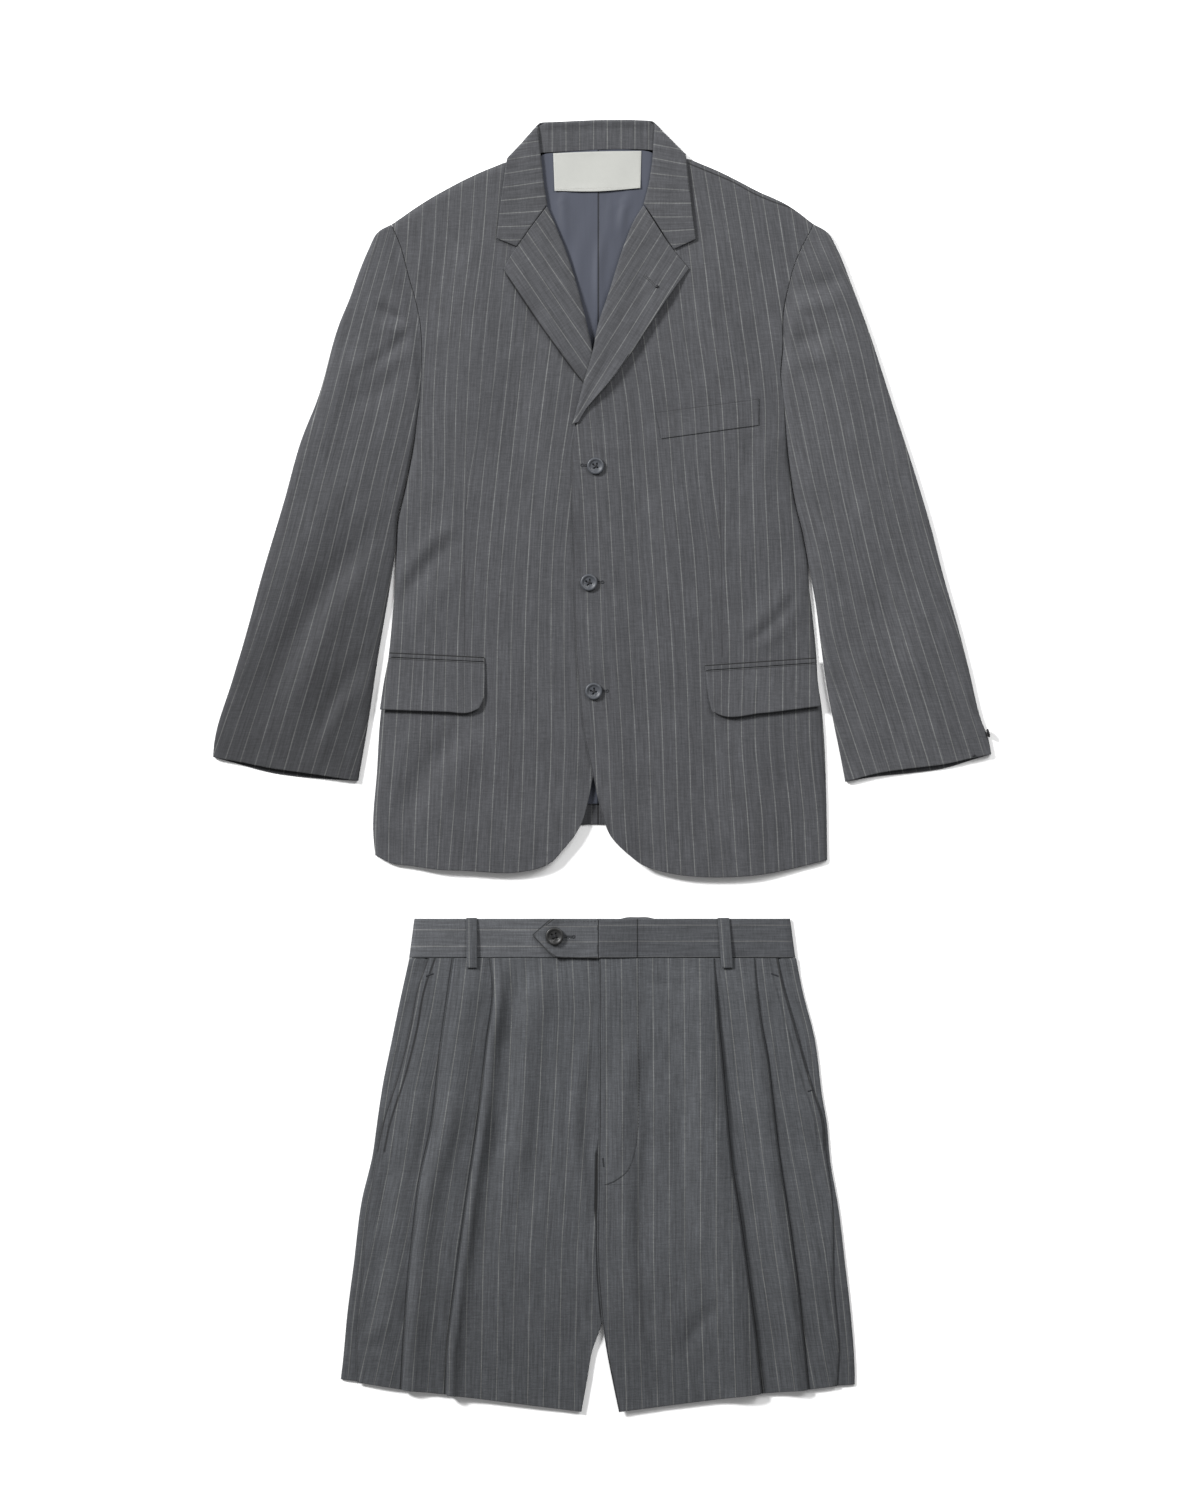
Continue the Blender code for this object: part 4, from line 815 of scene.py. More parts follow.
def suiting(name, cloth, stripe, pitch, stripe_width=0.95, contrast=1.0, fade=0.0, faded=(230.0, 660.0)):
    """Fine worsted wool: grey yarns of slightly uneven shade, a thin broken light stripe, and a fine twill.

    fade paints shade: it darkens the cloth more and more between the two distances down that faded gives.
    """
    t = Tree(name)
    u, v = t.uv("cloth")
    x, y = t.math("MULTIPLY", u, pitch), t.math("MULTIPLY", v, pitch)
    warp = t.over(x, y, 1.3, 26.0, 3.0)
    shade = t.math("MULTIPLY_ADD", warp, 0.9 * contrast, 1.0 - 0.45 * contrast)
    for wide, long, seed, size, detail in YARNS:
        grain = t.over(x, y, wide, long, seed, detail)
        shade = t.shaded(shade, grain, size * contrast)
    # The twill runs up to the right
    slanted = t.math("ADD", x, t.math("MULTIPLY", y, 0.8))
    rib = t.math("SINE", t.math("MULTIPLY", slanted, 2 * math.pi / TWILL_RIB))
    thread = t.math("SINE", t.math("MULTIPLY", y, 2 * math.pi / TWILL_THREAD))
    weave = t.math("MULTIPLY_ADD", t.math("MULTIPLY", rib, thread), 0.5, t.math("MULTIPLY", rib, 0.4))
    shade = t.math("MULTIPLY", shade, t.math("MULTIPLY_ADD", weave, 0.05, 1.0))
    # The stripe: its distance, its uneven width, its breaks and wear, and a strength of its own for each stripe
    share = t.math("SUBTRACT", t.math("FRACT", t.math("ADD", u, 0.5)), 0.5)
    off = t.math("MULTIPLY", t.math("ABSOLUTE", share), pitch)
    number = t.math("ROUND", u)
    breaks = t.noise(t.math("MULTIPLY", number, 7.3), t.math("DIVIDE", y, 1.9), 71.0)
    wear = t.noise(t.math("MULTIPLY", number, 3.7), t.math("DIVIDE", y, 60.0), 83.0)
    width = t.math("MULTIPLY_ADD", breaks, 0.3, stripe_width / 2 - 0.15)
    mask = t.math("SUBTRACT", 1.0, t.step(off, t.math("MULTIPLY", width, 0.5), t.math("MULTIPLY", width, 1.5)))
    mask = t.math("MULTIPLY", mask, t.step(t.math("ADD", breaks, t.math("MULTIPLY", wear, 1.2)), 0.3, 1.15))
    own = t.noise(t.math("MULTIPLY", number, 5.13), 0.5, 95.0, 0.0)
    mask = t.math("MULTIPLY", mask, t.math("MULTIPLY_ADD", own, 1.1, 0.45))
    colour = t.scaled(t.mix(mask, (*cloth, 1), (*stripe, 1)), shade)
    # Painted shade: darker towards the second distance down
    if fade:
        colour = t.scaled(colour, t.math("MULTIPLY_ADD", t.step(y, *faded), -fade, 1.0))
    dark_line = t.dark_line(0.25, 1.15)
    colour = t.scaled(colour, t.math("MULTIPLY_ADD", dark_line, -0.7, 1.0))
    relief = t.math("MULTIPLY_ADD", dark_line, -6.0, t.math("MULTIPLY_ADD", weave, 0.25, t.math("MULTIPLY", warp, 0.6)))
    return t.finish(colour, t.math("MULTIPLY_ADD", grain, 0.16, 0.68), relief, 0.55, 0.00012,
                    Specular_IOR_Level=0.22, Sheen_Weight=0.1, Sheen_Roughness=0.5)


def satin(name, cloth):
    """Lining: smooth filament satin; its colour lighter in long streaks along its length, partly uneven yarn and partly
    painted sheen.
    """
    t = Tree(name)
    x, y = t.cloth(JACKET_PITCH)
    warp = t.over(x, y, 0.8, 40.0, 3.0)
    broad = t.over(x, y, 9.0, 90.0, 9.0, 3.0)
    shade = t.math("MULTIPLY_ADD", warp, 0.12, 0.94)
    shade = t.shaded(t.shaded(shade, broad, 0.3), t.over(x, y, 1.4, 1.4, 21.0), 0.08)
    dark_line = t.dark_line(0.4, 1.3)
    colour = t.scaled(t.mix(broad, (*cloth, 1), (*[c * 1.08 for c in cloth], 1)), shade)
    colour = t.scaled(colour, t.math("MULTIPLY_ADD", dark_line, -0.75, 1.0))
    relief = t.math("MULTIPLY_ADD", dark_line, -5.0, t.math("MULTIPLY", warp, 0.5))
    return t.finish(colour, t.math("MULTIPLY_ADD", warp, 0.12, 0.58), relief, 0.5, 0.0001,
                    Specular_IOR_Level=0.25, Sheen_Weight=0.08)


def woven_label(name, cloth):
    """A bare woven label: fine ribs across, a little uneven."""
    t = Tree(name)
    x, y = t.cloth(JACKET_PITCH)
    rib = t.math("SINE", t.math("MULTIPLY", y, 2 * math.pi / LABEL_RIB))
    yarn = t.over(x, y, 6.0, 0.6, 5.0)
    cloud = t.over(x, y, 14.0, 14.0, 8.0)
    shade = t.shaded(t.shaded(1.0, yarn, 0.1), cloud, 0.08)
    shade = t.math("MULTIPLY", shade, t.math("MULTIPLY_ADD", rib, 0.02, 1.0))
    colour = t.scaled(t.mix(yarn, (*cloth, 1), (*[c * 0.95 for c in cloth], 1)), shade)
    return t.finish(colour, t.math("MULTIPLY_ADD", yarn, 0.15, 0.6), t.math("ADD", rib, yarn), 0.5, 0.0001)


def plain(name, colour, roughness, size, amount, specular, coat):
    """Moulded plastic or thread: one colour with slight clouding over the object's own space."""
    t = Tree(name)
    by = 1 / (size * MM)
    cloud = t.noise(*[t.math("MULTIPLY", s, by) for s in t.split(t.add("TexCoord", out=3))], detail=3.0)
    shade = t.math("MULTIPLY_ADD", cloud, amount, 1 - amount / 2)
    mixed = t.scaled(t.mix(cloud, (*colour, 1), (*[c * 1.3 for c in colour], 1)), shade)
    return t.finish(mixed, t.math("MULTIPLY_ADD", cloud, 0.2, roughness - 0.1), cloud, 0.2, 0.00005,
                    Specular_IOR_Level=specular, Coat_Weight=coat, Coat_Roughness=0.15)


JACKET_CLOTH = (0.0415, 0.0425, 0.0465)
SLEEVE_CLOTH = (0.0455, 0.0465, 0.0505)
# Painted shade: a darker copy of the sleeve cloth, for the right sleeve
SHADED_SLEEVE_CLOTH = (0.041, 0.042, 0.046)
SHORTS_CLOTH = (0.046, 0.0485, 0.053)
BAND_CLOTH = (0.0605, 0.063, 0.0685)
DARK_BAND_CLOTH = (0.0425, 0.0445, 0.049)
TAB_CLOTH = (0.054, 0.0565, 0.0615)
STRIPE = (0.095, 0.097, 0.0965)
SHORTS_STRIPE = (0.101, 0.103, 0.1015)
jacket_wool = suiting("jacket_wool", JACKET_CLOTH, STRIPE, JACKET_PITCH, 0.85)
sleeve_wool = suiting("sleeve_wool", SLEEVE_CLOTH, STRIPE, SLEEVE_PITCH)
# Painted shade: the right sleeve's wool also darkens more and more towards its cuff
shaded_sleeve_wool = suiting("shaded_sleeve_wool", SHADED_SLEEVE_CLOTH, STRIPE, SLEEVE_PITCH, fade=0.36)
# Painted shade: the shorts' wool darkens towards the hem
shorts_wool = suiting("shorts_wool", SHORTS_CLOTH, SHORTS_STRIPE, SHORTS_PITCH, 0.8, 1.1, 0.18, (280.0, 480.0))
band_wool = suiting("band_wool", BAND_CLOTH, (0.125,) * 3, BAND_PITCH, 0.9)
dark_band_wool = suiting("dark_band_wool", DARK_BAND_CLOTH, (0.088,) * 3, BAND_PITCH, 0.9)
tab_wool = suiting("tab_wool", TAB_CLOTH, (0.104,) * 3, BAND_PITCH, 0.9)
lining_satin = satin("lining_satin", (0.0385, 0.0425, 0.057))
label_cloth = woven_label("label_cloth", (0.315, 0.318, 0.30))
# Columns: name, colour, roughness, size of the clouding in mm, its amount, specular, coat
button_plastic, dark_plastic, jacket_thread, shorts_thread, lapel_thread, horn_plastic, button_thread, label_thread = [
    plain(*row) for row in [
        ("button_plastic", (0.036, 0.039, 0.045), 0.46, 5.0, 0.5, 0.34, 0.06),
        ("dark_plastic", (0.009, 0.009, 0.01), 0.5, 5.0, 0.5, 0.25, 0.03),
        ("jacket_thread", (0.026, 0.027, 0.03), 0.7, 0.7, 0.6, 0.3, 0.0),
        ("shorts_thread", (0.017, 0.018, 0.021), 0.7, 0.7, 0.6, 0.3, 0.0),
        ("lapel_thread", (0.06, 0.061, 0.065), 0.7, 0.7, 0.6, 0.3, 0.0),
        ("horn_plastic", (0.012, 0.012, 0.012), 0.44, 5.0, 0.6, 0.34, 0.04),
        ("button_thread", (0.012, 0.012, 0.014), 0.6, 0.7, 0.6, 0.3, 0.0),
        ("label_thread", (0.3, 0.3, 0.28), 0.6, 0.7, 0.4, 0.3, 0.0),
    ]
]

declared = []


def stand_for(obj, node):
    """Puts an object on the frame in its node's place."""
    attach(obj, "root")
    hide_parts(node)


def sew(obj, node, rests_on=()):
    """Puts a sheet in its node's place and notes it, with the pieces that it rests on."""
    stand_for(obj, node)
    declared.append((obj, rests_on))


# --- jacket ---


# Strengths of the drawn lines, a dart's seam and a painted shade line along the left front's edge, and how far inside
# an edge its line runs
DART_LINE = 0.42
EDGE_LINE = 0.7
EDGE_LINE_INSET = 0.7


def front(node, outer, inner, shoulder, seam, hem, height, stripes, dart, seam_line):
    """A front with its dart. seam_line is where the shoulder's seam shows, on the left front only."""
    surface = patch(outer, inner, shoulder, hem)
    vs = np.concatenate([[0, 0.0016, 0.0035, 0.006, 0.0095, 0.014, 0.02], np.linspace(0.026, 0.992, 190),
                         [0.9955, 0.998, 1]])
    grid, inwards = [], []
    for v in vs:
        width = np.linalg.norm(outer(v) - inner(v))
        a = np.array([0, 1.3, 2.4, 3.8, 5.6, 8, 11.5, 16])
        b = width - np.array([16, 11.5, 8, 5.4, 3.4, 2.2, 1.2, 0])
        d = np.concatenate([a, np.linspace(a[-1], b[0], 58)[1:-1], b])
        flat = surface(d / width, np.full(len(d), v))
        x, down = flat[:, 0], flat[:, 1]
        drop = curl(d) * ramp(outer(v)[1], 303, 355)
        if v < 0.2:
            above = np.sqrt(((flat[:, None, :] - seam[None]) ** 2).sum(-1)).min(1)
            drop = np.maximum(drop, curl(above))
        grid.append(np.stack([x, down, height(x, down) - drop], axis=1))
        inwards.append(width - d)
    grid, inwards = np.array(grid), np.array(inwards)
    numbers, rows = stripes
    dart_x = x_along(dart)
    split = int(np.sum(np.array(rows[5][1:]) < dart_x(rows[5][0])))
    whole = stripe_field(numbers, rows, JACKET_PITCH)
    low = stripe_field(numbers[:split], [(r[0], *r[1:split + 1]) for r in rows], JACKET_PITCH)
    high = stripe_field(numbers[split:], [(r[0], *r[split + 1:]) for r in rows], JACKET_PITCH)

    def coords(x, down, mid_x, mid_down):
        """Above the dart the stripes run on, and from it down those of each side follow their own runs."""
        part = np.where(mid_x < dart_x(mid_down), low(x, down), high(x, down))
        share = ramp(mid_down, DART_TOP - 40, DART_TOP + 30)
        near = np.round(whole(x, down) - part)
        s = whole(x, down) * (1 - share) + (part + near * (share < 1)) * share
        return np.stack([s, down / JACKET_PITCH], axis=1)

    x, down = grid[..., 0], grid[..., 1]
    away = x - dart_x(down)
    strength = DART_LINE * ramp(down, DART_TOP, DART_TOP + 40) * (1 - ramp(down, DART_END - 2, DART_END + 2))
    if seam_line:
        on = down - smooth([r[0] for r in seam_line], [r[1] for r in seam_line], x)
        high_up = down < 200
        away = np.where(high_up, on, np.maximum(away, EDGE_LINE_INSET - inwards))
        # Painted shade: a dark line along the left front's edge, from below its lapel down
        at_edge = EDGE_LINE * ramp(inwards, 14, 9) * ramp(down, 318, 350)
        seam_start = seam_line[0][0]
        strength = np.where(high_up, ramp(x, seam_start, seam_start + 4), np.maximum(strength, at_edge))
    else:
        # Painted shadow: a dark line on the right front just outside its lapel's outer edge
        beside_lapel = down < 320
        away = np.where(beside_lapel, (x - x_along(LAPEL_EDGE_R)(down)) * 0.8 + 0.7, away)
        strength = np.where(beside_lapel, ramp(down, 160, 168) * (1 - ramp(down, 280, 288)), strength)
    return shell(node + "_cloth", grid, SUITING, coords, JACKET_TOP, jacket_wool,
                 seams=np.stack([np.clip(away, -SEAM_FAR, SEAM_FAR), strength], -1))


def lapel(node, roll, edge, gorge, end, height, lift, stripe):
    """A lapel that turns over at its roll; its outer edge stands off the front a little."""
    surface = patch(roll, edge, gorge, end)
    grid = []
    for v in np.concatenate([[0, 0.006, 0.014], np.linspace(0.024, 0.985, 84), [0.993, 1]]):
        width = np.linalg.norm(roll(v) - edge(v))
        start = min(2.0, 0.45 * width)
        turned = start - (start - 0.3) * np.cos(HALF_TURN)
        rest = start + (width - start) * np.concatenate([np.linspace(0.02, 0.93, 26), [0.965, 0.985, 1]])
        d = np.concatenate([turned, rest])
        up = np.concatenate([LAPEL_LIFT / 2 * (1 + np.sin(HALF_TURN)), np.full(len(rest), LAPEL_LIFT)])
        flat = surface(d / width, np.full(len(d), v))
        share = d / width
        stand = lift * share**2 * ramp(v, 0.0, 0.2) * (1 - ramp(v, 0.75, 1.0))
        roll_over = 0.9 * np.sin(math.pi * np.clip(share / 0.5, 0, 1)) * (up >= LAPEL_LIFT) * (1 - ramp(v, 0.8, 1))
        z = height(flat[:, 0], flat[:, 1]) + up + stand + roll_over
        grid.append(np.column_stack([flat, z]))
    grid = np.array(grid)
    x0, down0, slope, apart = stripe
    x, down = grid[..., 0], grid[..., 1]
    s = (x - x0 - slope * (down - down0)) / apart
    along = (slope * x + down) / math.hypot(slope, 1) / JACKET_PITCH
    return shell(node + "_cloth", grid, SUITING, np.stack([s, along], -1), JACKET_TOP, jacket_wool)


# The rows of COLLAR between which the collar runs behind the neck, and where a stripe runs there
COLLAR_RIGHT_END = 7
COLLAR_LEFT_START = 13
COLLAR_STRIPE_X = -52.5


def collar_stripes(x, down, number):
    """Stripes run nearly level over both falls, and down from the edge behind the neck."""
    lean_r = 0.16 - 0.14 * ramp(down, 50, 130)
    lean_l = np.interp(down, [46, 61, 75, 89, 104, 118], [0.2, 0.1, 0.06, 0, 0, -0.06])
    if number < COLLAR_RIGHT_END:
        s = (down + lean_r * (x + 82.9) - 26.5) / COLLAR_PITCH
    elif number > COLLAR_LEFT_START:
        s = (down - lean_l * (x - 73.9) - 31.5) / COLLAR_PITCH
    else:
        s = (x - COLLAR_STRIPE_X) / COLLAR_PITCH
        return np.stack([s, down / COLLAR_PITCH], -1)
    return np.stack([s, x / COLLAR_PITCH], -1)


def collar():
    """Both falls and the strip behind the neck, as one sheet along the roll."""
    rows = np.array(COLLAR)
    lengths = np.concatenate([[0], np.cumsum(np.linalg.norm(np.diff(rows[:, :2], axis=0), axis=1))])
    steps = np.concatenate([np.arange(0, lengths[-1], 2.6), [lengths[-1]]])
    steps = steps[np.concatenate([np.diff(steps) > 1.0, [True]])]
    numbers = np.interp(steps, lengths, np.arange(len(rows)))
    values = np.stack([np.interp(steps, lengths, rows[:, k]) for k in range(7)], axis=1)
    kernel = np.array([1, 2, 3, 2, 1]) / 9.0
    for k in range(7):
        padded = np.concatenate([[2 * values[0, k] - values[2, k], 2 * values[0, k] - values[1, k]], values[:, k],
                                 [2 * values[-1, k] - values[-2, k], 2 * values[-1, k] - values[-3, k]]])
        values[:, k] = np.convolve(padded, kernel, mode="valid")
    shares = np.concatenate([np.linspace(0.02, NOTCH_SHARE, 17), np.linspace(0.74, 0.94, 6), [0.965, 0.985, 1]])
    grid, coords = [], []
    last = len(rows) - 1
    for i, (rx, rd, start_z, fall_z, ex, ed, edge_z) in enumerate(values):
        roll = np.array([rx, rd])
        edge = np.array([ex, ed])
        width = np.linalg.norm(edge - roll)
        reach = (edge - roll) / width
        turned = 2.0 - 1.7 * np.cos(HALF_TURN)
        half = (fall_z - start_z) / 2
        row = [(*(roll + reach * e), start_z + half + half * math.sin(a)) for e, a in zip(turned, HALF_TURN)]
        side = ramp(fall_z, 3.0, 5.5)
        for share in shares:
            spot = roll + reach * (2.0 + (width - 2.0) * share)
            bulge = side * (0.7 * math.sin(math.pi * min(1.0, share / 0.6)) + 1.4 * share**2)
            row.append((*spot, fall_z + (edge_z - fall_z) * share + bulge))
        row = np.array(row)
        bend = np.where(shares <= NOTCH_SHARE, shares / NOTCH_SHARE, (1 - shares) / (1 - NOTCH_SHARE))
        for corner, end, from_end in ((NOTCH_R, rows[0], numbers[i]), (NOTCH_L, rows[-1], last - numbers[i])):
            chord = end[0:2] + (end[4:6] - end[0:2]) * NOTCH_SHARE
            push = (np.array(corner) - chord) * max(0.0, 1 - from_end / NOTCH_REACH) ** 2
            row[len(HALF_TURN):, :2] += bend[:, None] * push
        grid.append(row)
        coords.append(collar_stripes(row[:, 0], row[:, 1], numbers[i]))
    return shell("collar_cloth", np.array(grid), SUITING, np.array(coords), JACKET_TOP, jacket_wool)


def stand():
    """The strip of the collar that shows below its roll, inside the neck."""
    top, seam = line(STAND_TOP), line(STAND_SEAM)
    shares = np.linspace(0, 1, 90)
    rows = []
    for share in np.concatenate([np.linspace(0, 0.92, 16), [0.965, 1]]):
        flat = top(shares) * (1 - share) + seam(shares) * share
        inwards = np.minimum(flat[:, 0] - flat[0, 0], flat[-1, 0] - flat[:, 0])
        over = 0.3 + 2.0 * (1 - ramp(share, 0, 0.3)) + 0.5 * math.sin(math.pi * share)
        rows.append(np.column_stack([flat, STAND_LEVEL + over * ramp(inwards, 3, 10)]))
    grid = np.array(rows)
    s = (grid[..., 0] - COLLAR_STRIPE_X) / COLLAR_PITCH
    return shell("collar_stand_cloth", grid, LINING, np.stack([s, grid[..., 1] / COLLAR_PITCH], -1), JACKET_TOP,
                 jacket_wool)


def inset(points, by):
    """A closed outline drawn in."""
    points = np.array(points, float)
    ahead = np.roll(points, -1, axis=0) - np.roll(points, 1, axis=0)
    normals = unit(np.stack([-ahead[:, 1], ahead[:, 0]], axis=1))
    area = np.sum(points[:, 0] * np.roll(points[:, 1], -1) - np.roll(points[:, 0], -1) * points[:, 1])
    return points + normals * by * (1 if area > 0 else -1)


def panel(node, inside, neck, hem, middle, wall, material, relief):
    """The back or the lining: one flat sheet between both side lines, the neck and the hem."""
    sides = []
    for shoulder, armhole, side in ((SHOULDER_R, ARMHOLE_R, SIDE_R), (SHOULDER_L, ARMHOLE_L, SIDE_L)):
        sides.append(np.concatenate([sampled(shoulder[4::-1], 8)[:-1], sampled(armhole, 12)[:-1],
                                     sampled(side[:-1], 26)]))
    whole = inset(np.concatenate([sides[0], [(0, 830)], sides[1][::-1], [(0, 0)]]), inside)
    right = whole[: len(sides[0])]
    left = whole[len(sides[0]) + 1:-1][::-1]
    right = np.concatenate([[neck[-1]], right[right[:, 1] < hem[0][1] - 4], [hem[0]]])
    left = np.concatenate([[neck[0]], left[left[:, 1] < hem[-1][1] - 4], [hem[-1]]])
    surface = patch(line(right), line(left), line(neck[::-1]), line(hem))
    u, v = np.meshgrid(np.concatenate([[0, 0.006], np.linspace(0.015, 0.31, 20), np.linspace(0.32, 0.68, 96),
                                       np.linspace(0.69, 0.985, 20), [0.994, 1]]),
                       np.concatenate([[0, 0.003], np.linspace(0.008, 0.99, 120), [0.9965, 1]]))
    flat = surface(u, v)
    x, down = flat[..., 0], flat[..., 1]
    z = middle + relief(x, down)
    coords = np.stack([(x - BACK_SEAM_X) / JACKET_PITCH + 0.5, down / JACKET_PITCH], -1)
    seams = np.stack([np.clip(x - BACK_SEAM_X, -SEAM_FAR, SEAM_FAR), np.ones_like(x)], -1)
    return shell(node + "_cloth", np.stack([x, down, z], -1), wall, coords, JACKET_TOP, material, seams=seams)


def lining_relief(x, down):
    """The lining's creases and the pleat at its middle."""
    return folds(LINING_FOLDS, x, down) + 0.45 * ramp(x, -22, -6) * (1 - ramp(x, -4.8, -3.6))


def sleeve(node, outer, inner, armhole, cuff, stripes, fold_rows, material):
    """A tube pressed flat: the upper layer with its folds, both turned sides, and the flat layer below."""
    surface = patch(outer, inner, armhole, cuff)
    field = stripe_field(*stripes, SLEEVE_PITCH)
    grid = []
    for v in np.concatenate([[0, 0.003, 0.007], np.linspace(0.012, 0.988, 168), [0.994, 0.9975, 1]]):
        high = SLEEVE_HEAD_HIGH + (SLEEVE_HIGH - SLEEVE_HEAD_HIGH) * ramp(v, 0, 0.08)
        high -= (SLEEVE_HIGH - SLEEVE_CUFF_HIGH) * ramp(v, 0.6, 1)
        turn = (high - SLEEVE_WALL) / 2
        middle = high / 2
        width = np.linalg.norm(outer(v) - inner(v))
        inner_width = width - SLEEVE_WALL
        arc = np.linspace(0, 90, 6) * math.pi / 180
        near = turn * (1 - np.cos(arc))
        up = turn * np.sin(arc)
        spots = np.concatenate([turn + np.array([1.6, 4.2]),
                                np.linspace(turn + 7.5, inner_width - turn - 7.5, 44),
                                inner_width - turn - np.array([4.2, 1.6])])
        e = np.concatenate([near, spots, (inner_width - near)[::-1]])
        h = np.concatenate([up, np.full(len(spots), turn), up[::-1]])
        layer = np.concatenate([np.zeros(6), np.ones(len(spots)), np.zeros(6)])
        back = np.linspace(inner_width - turn - 4, turn + 4, 16)
        e = np.concatenate([e, (inner_width - near)[1:], back, near[:0:-1]])
        h = np.concatenate([h, -up[1:], np.full(16, -turn), -up[:0:-1]])
        layer = np.concatenate([layer, np.zeros(26)])
        u = (SLEEVE_WALL / 2 + e) / width
        flat = surface(u, np.full(len(u), v))
        x, down = flat[:, 0], flat[:, 1]
        down = down + np.where(h < -0.9 * turn, BACK_HEM_SHOWS * ramp(v, 0.93, 1) * np.sin(math.pi * u), 0.0)
        round_up = np.sqrt(np.clip(4 * u * (1 - u), 0, 1)) * 2.4 * (1 - 0.4 * ramp(v, 0.85, 1)) * ramp(v, 0, 0.05)
        z = middle + h + (h > 0.2 * turn) * layer * (round_up + folds(fold_rows, x, down) * ramp(v, 0, 0.03)
                                                     + ripple(x, down, 0.2))
        z = np.where(layer > 0, np.maximum(z, middle + 0.35 * turn), z)
        grid.append(np.stack([x, down, z], axis=1))
    grid = np.array(grid)
    s = field(grid[..., 0], grid[..., 1])
    return shell(node + "_cloth", grid, SLEEVE_WALL, np.stack([s, grid[..., 1] / SLEEVE_PITCH], -1), JACKET_TOP,
                 material, ring=True)


LAID_COLUMNS = 40


def laid_on(node, edges, height, wall, rows, field, puff, lift, seam):
    """A flap or a welt laid on a front. lift raises its lower edge, and seam is the strength of its upper line."""
    surface = patch(line(edges["outer"]), line(edges["inner"]), line(edges["top"]), line(edges["bottom"]))
    rim = 1.2 / LAID_COLUMNS
    us = np.concatenate([[0, rim], np.linspace(2 * rim, 1 - 2 * rim, LAID_COLUMNS), [1 - rim, 1]])
    vs = np.concatenate([[0, 0.035], np.linspace(0.08, 0.92, rows), [0.965, 1]])
    u, v = np.meshgrid(us, vs)
    flat = surface(u, v)
    x, down = flat[..., 0], flat[..., 1]
    z = height(x, down) + SUITING / 2 + LAYER_GAP + wall / 2
    z = z + puff * np.sin(math.pi * u) ** 0.5 * np.sin(math.pi * v) ** 0.6 + lift * v**2
    coords = np.stack([field(x, down), down / JACKET_PITCH], -1)
    deep = np.linalg.norm(flat[-1] - flat[0], axis=-1)
    seams = np.stack([v * deep - 0.8, np.full(x.shape, seam)], -1)
    return shell(node + "_cloth", np.stack([x, down, z], -1), wall, coords, JACKET_TOP, jacket_wool, seams=seams)


def label_middle(u, v):
    """The height of the label's middle at shares of its width and depth: it bends up towards its lower edge."""
    level = LINING_MIDDLE + LINING / 2 + 0.3 + LABEL_WALL / 2
    return level + 0.5 * np.sin(math.pi * u) + 0.2 * np.sin(9 * u + 3 * v) + 1.1 * v**3


def label():
    u, v = np.meshgrid(np.linspace(0, 1, 40), np.linspace(0, 1, 18))
    top_right, top_left, low_left, low_right = np.array(LABEL, float)
    surface = patch(line([top_right, low_right]), line([top_left, low_left]),
                    line([top_right, (-5, 34.6), top_left]), line([low_right, (-5, 76.6), low_left]))
    flat = surface(u, v)
    return shell("label_cloth_piece", np.dstack([flat, label_middle(u, v)]), LABEL_WALL, flat / JACKET_PITCH,
                 JACKET_TOP, label_cloth)


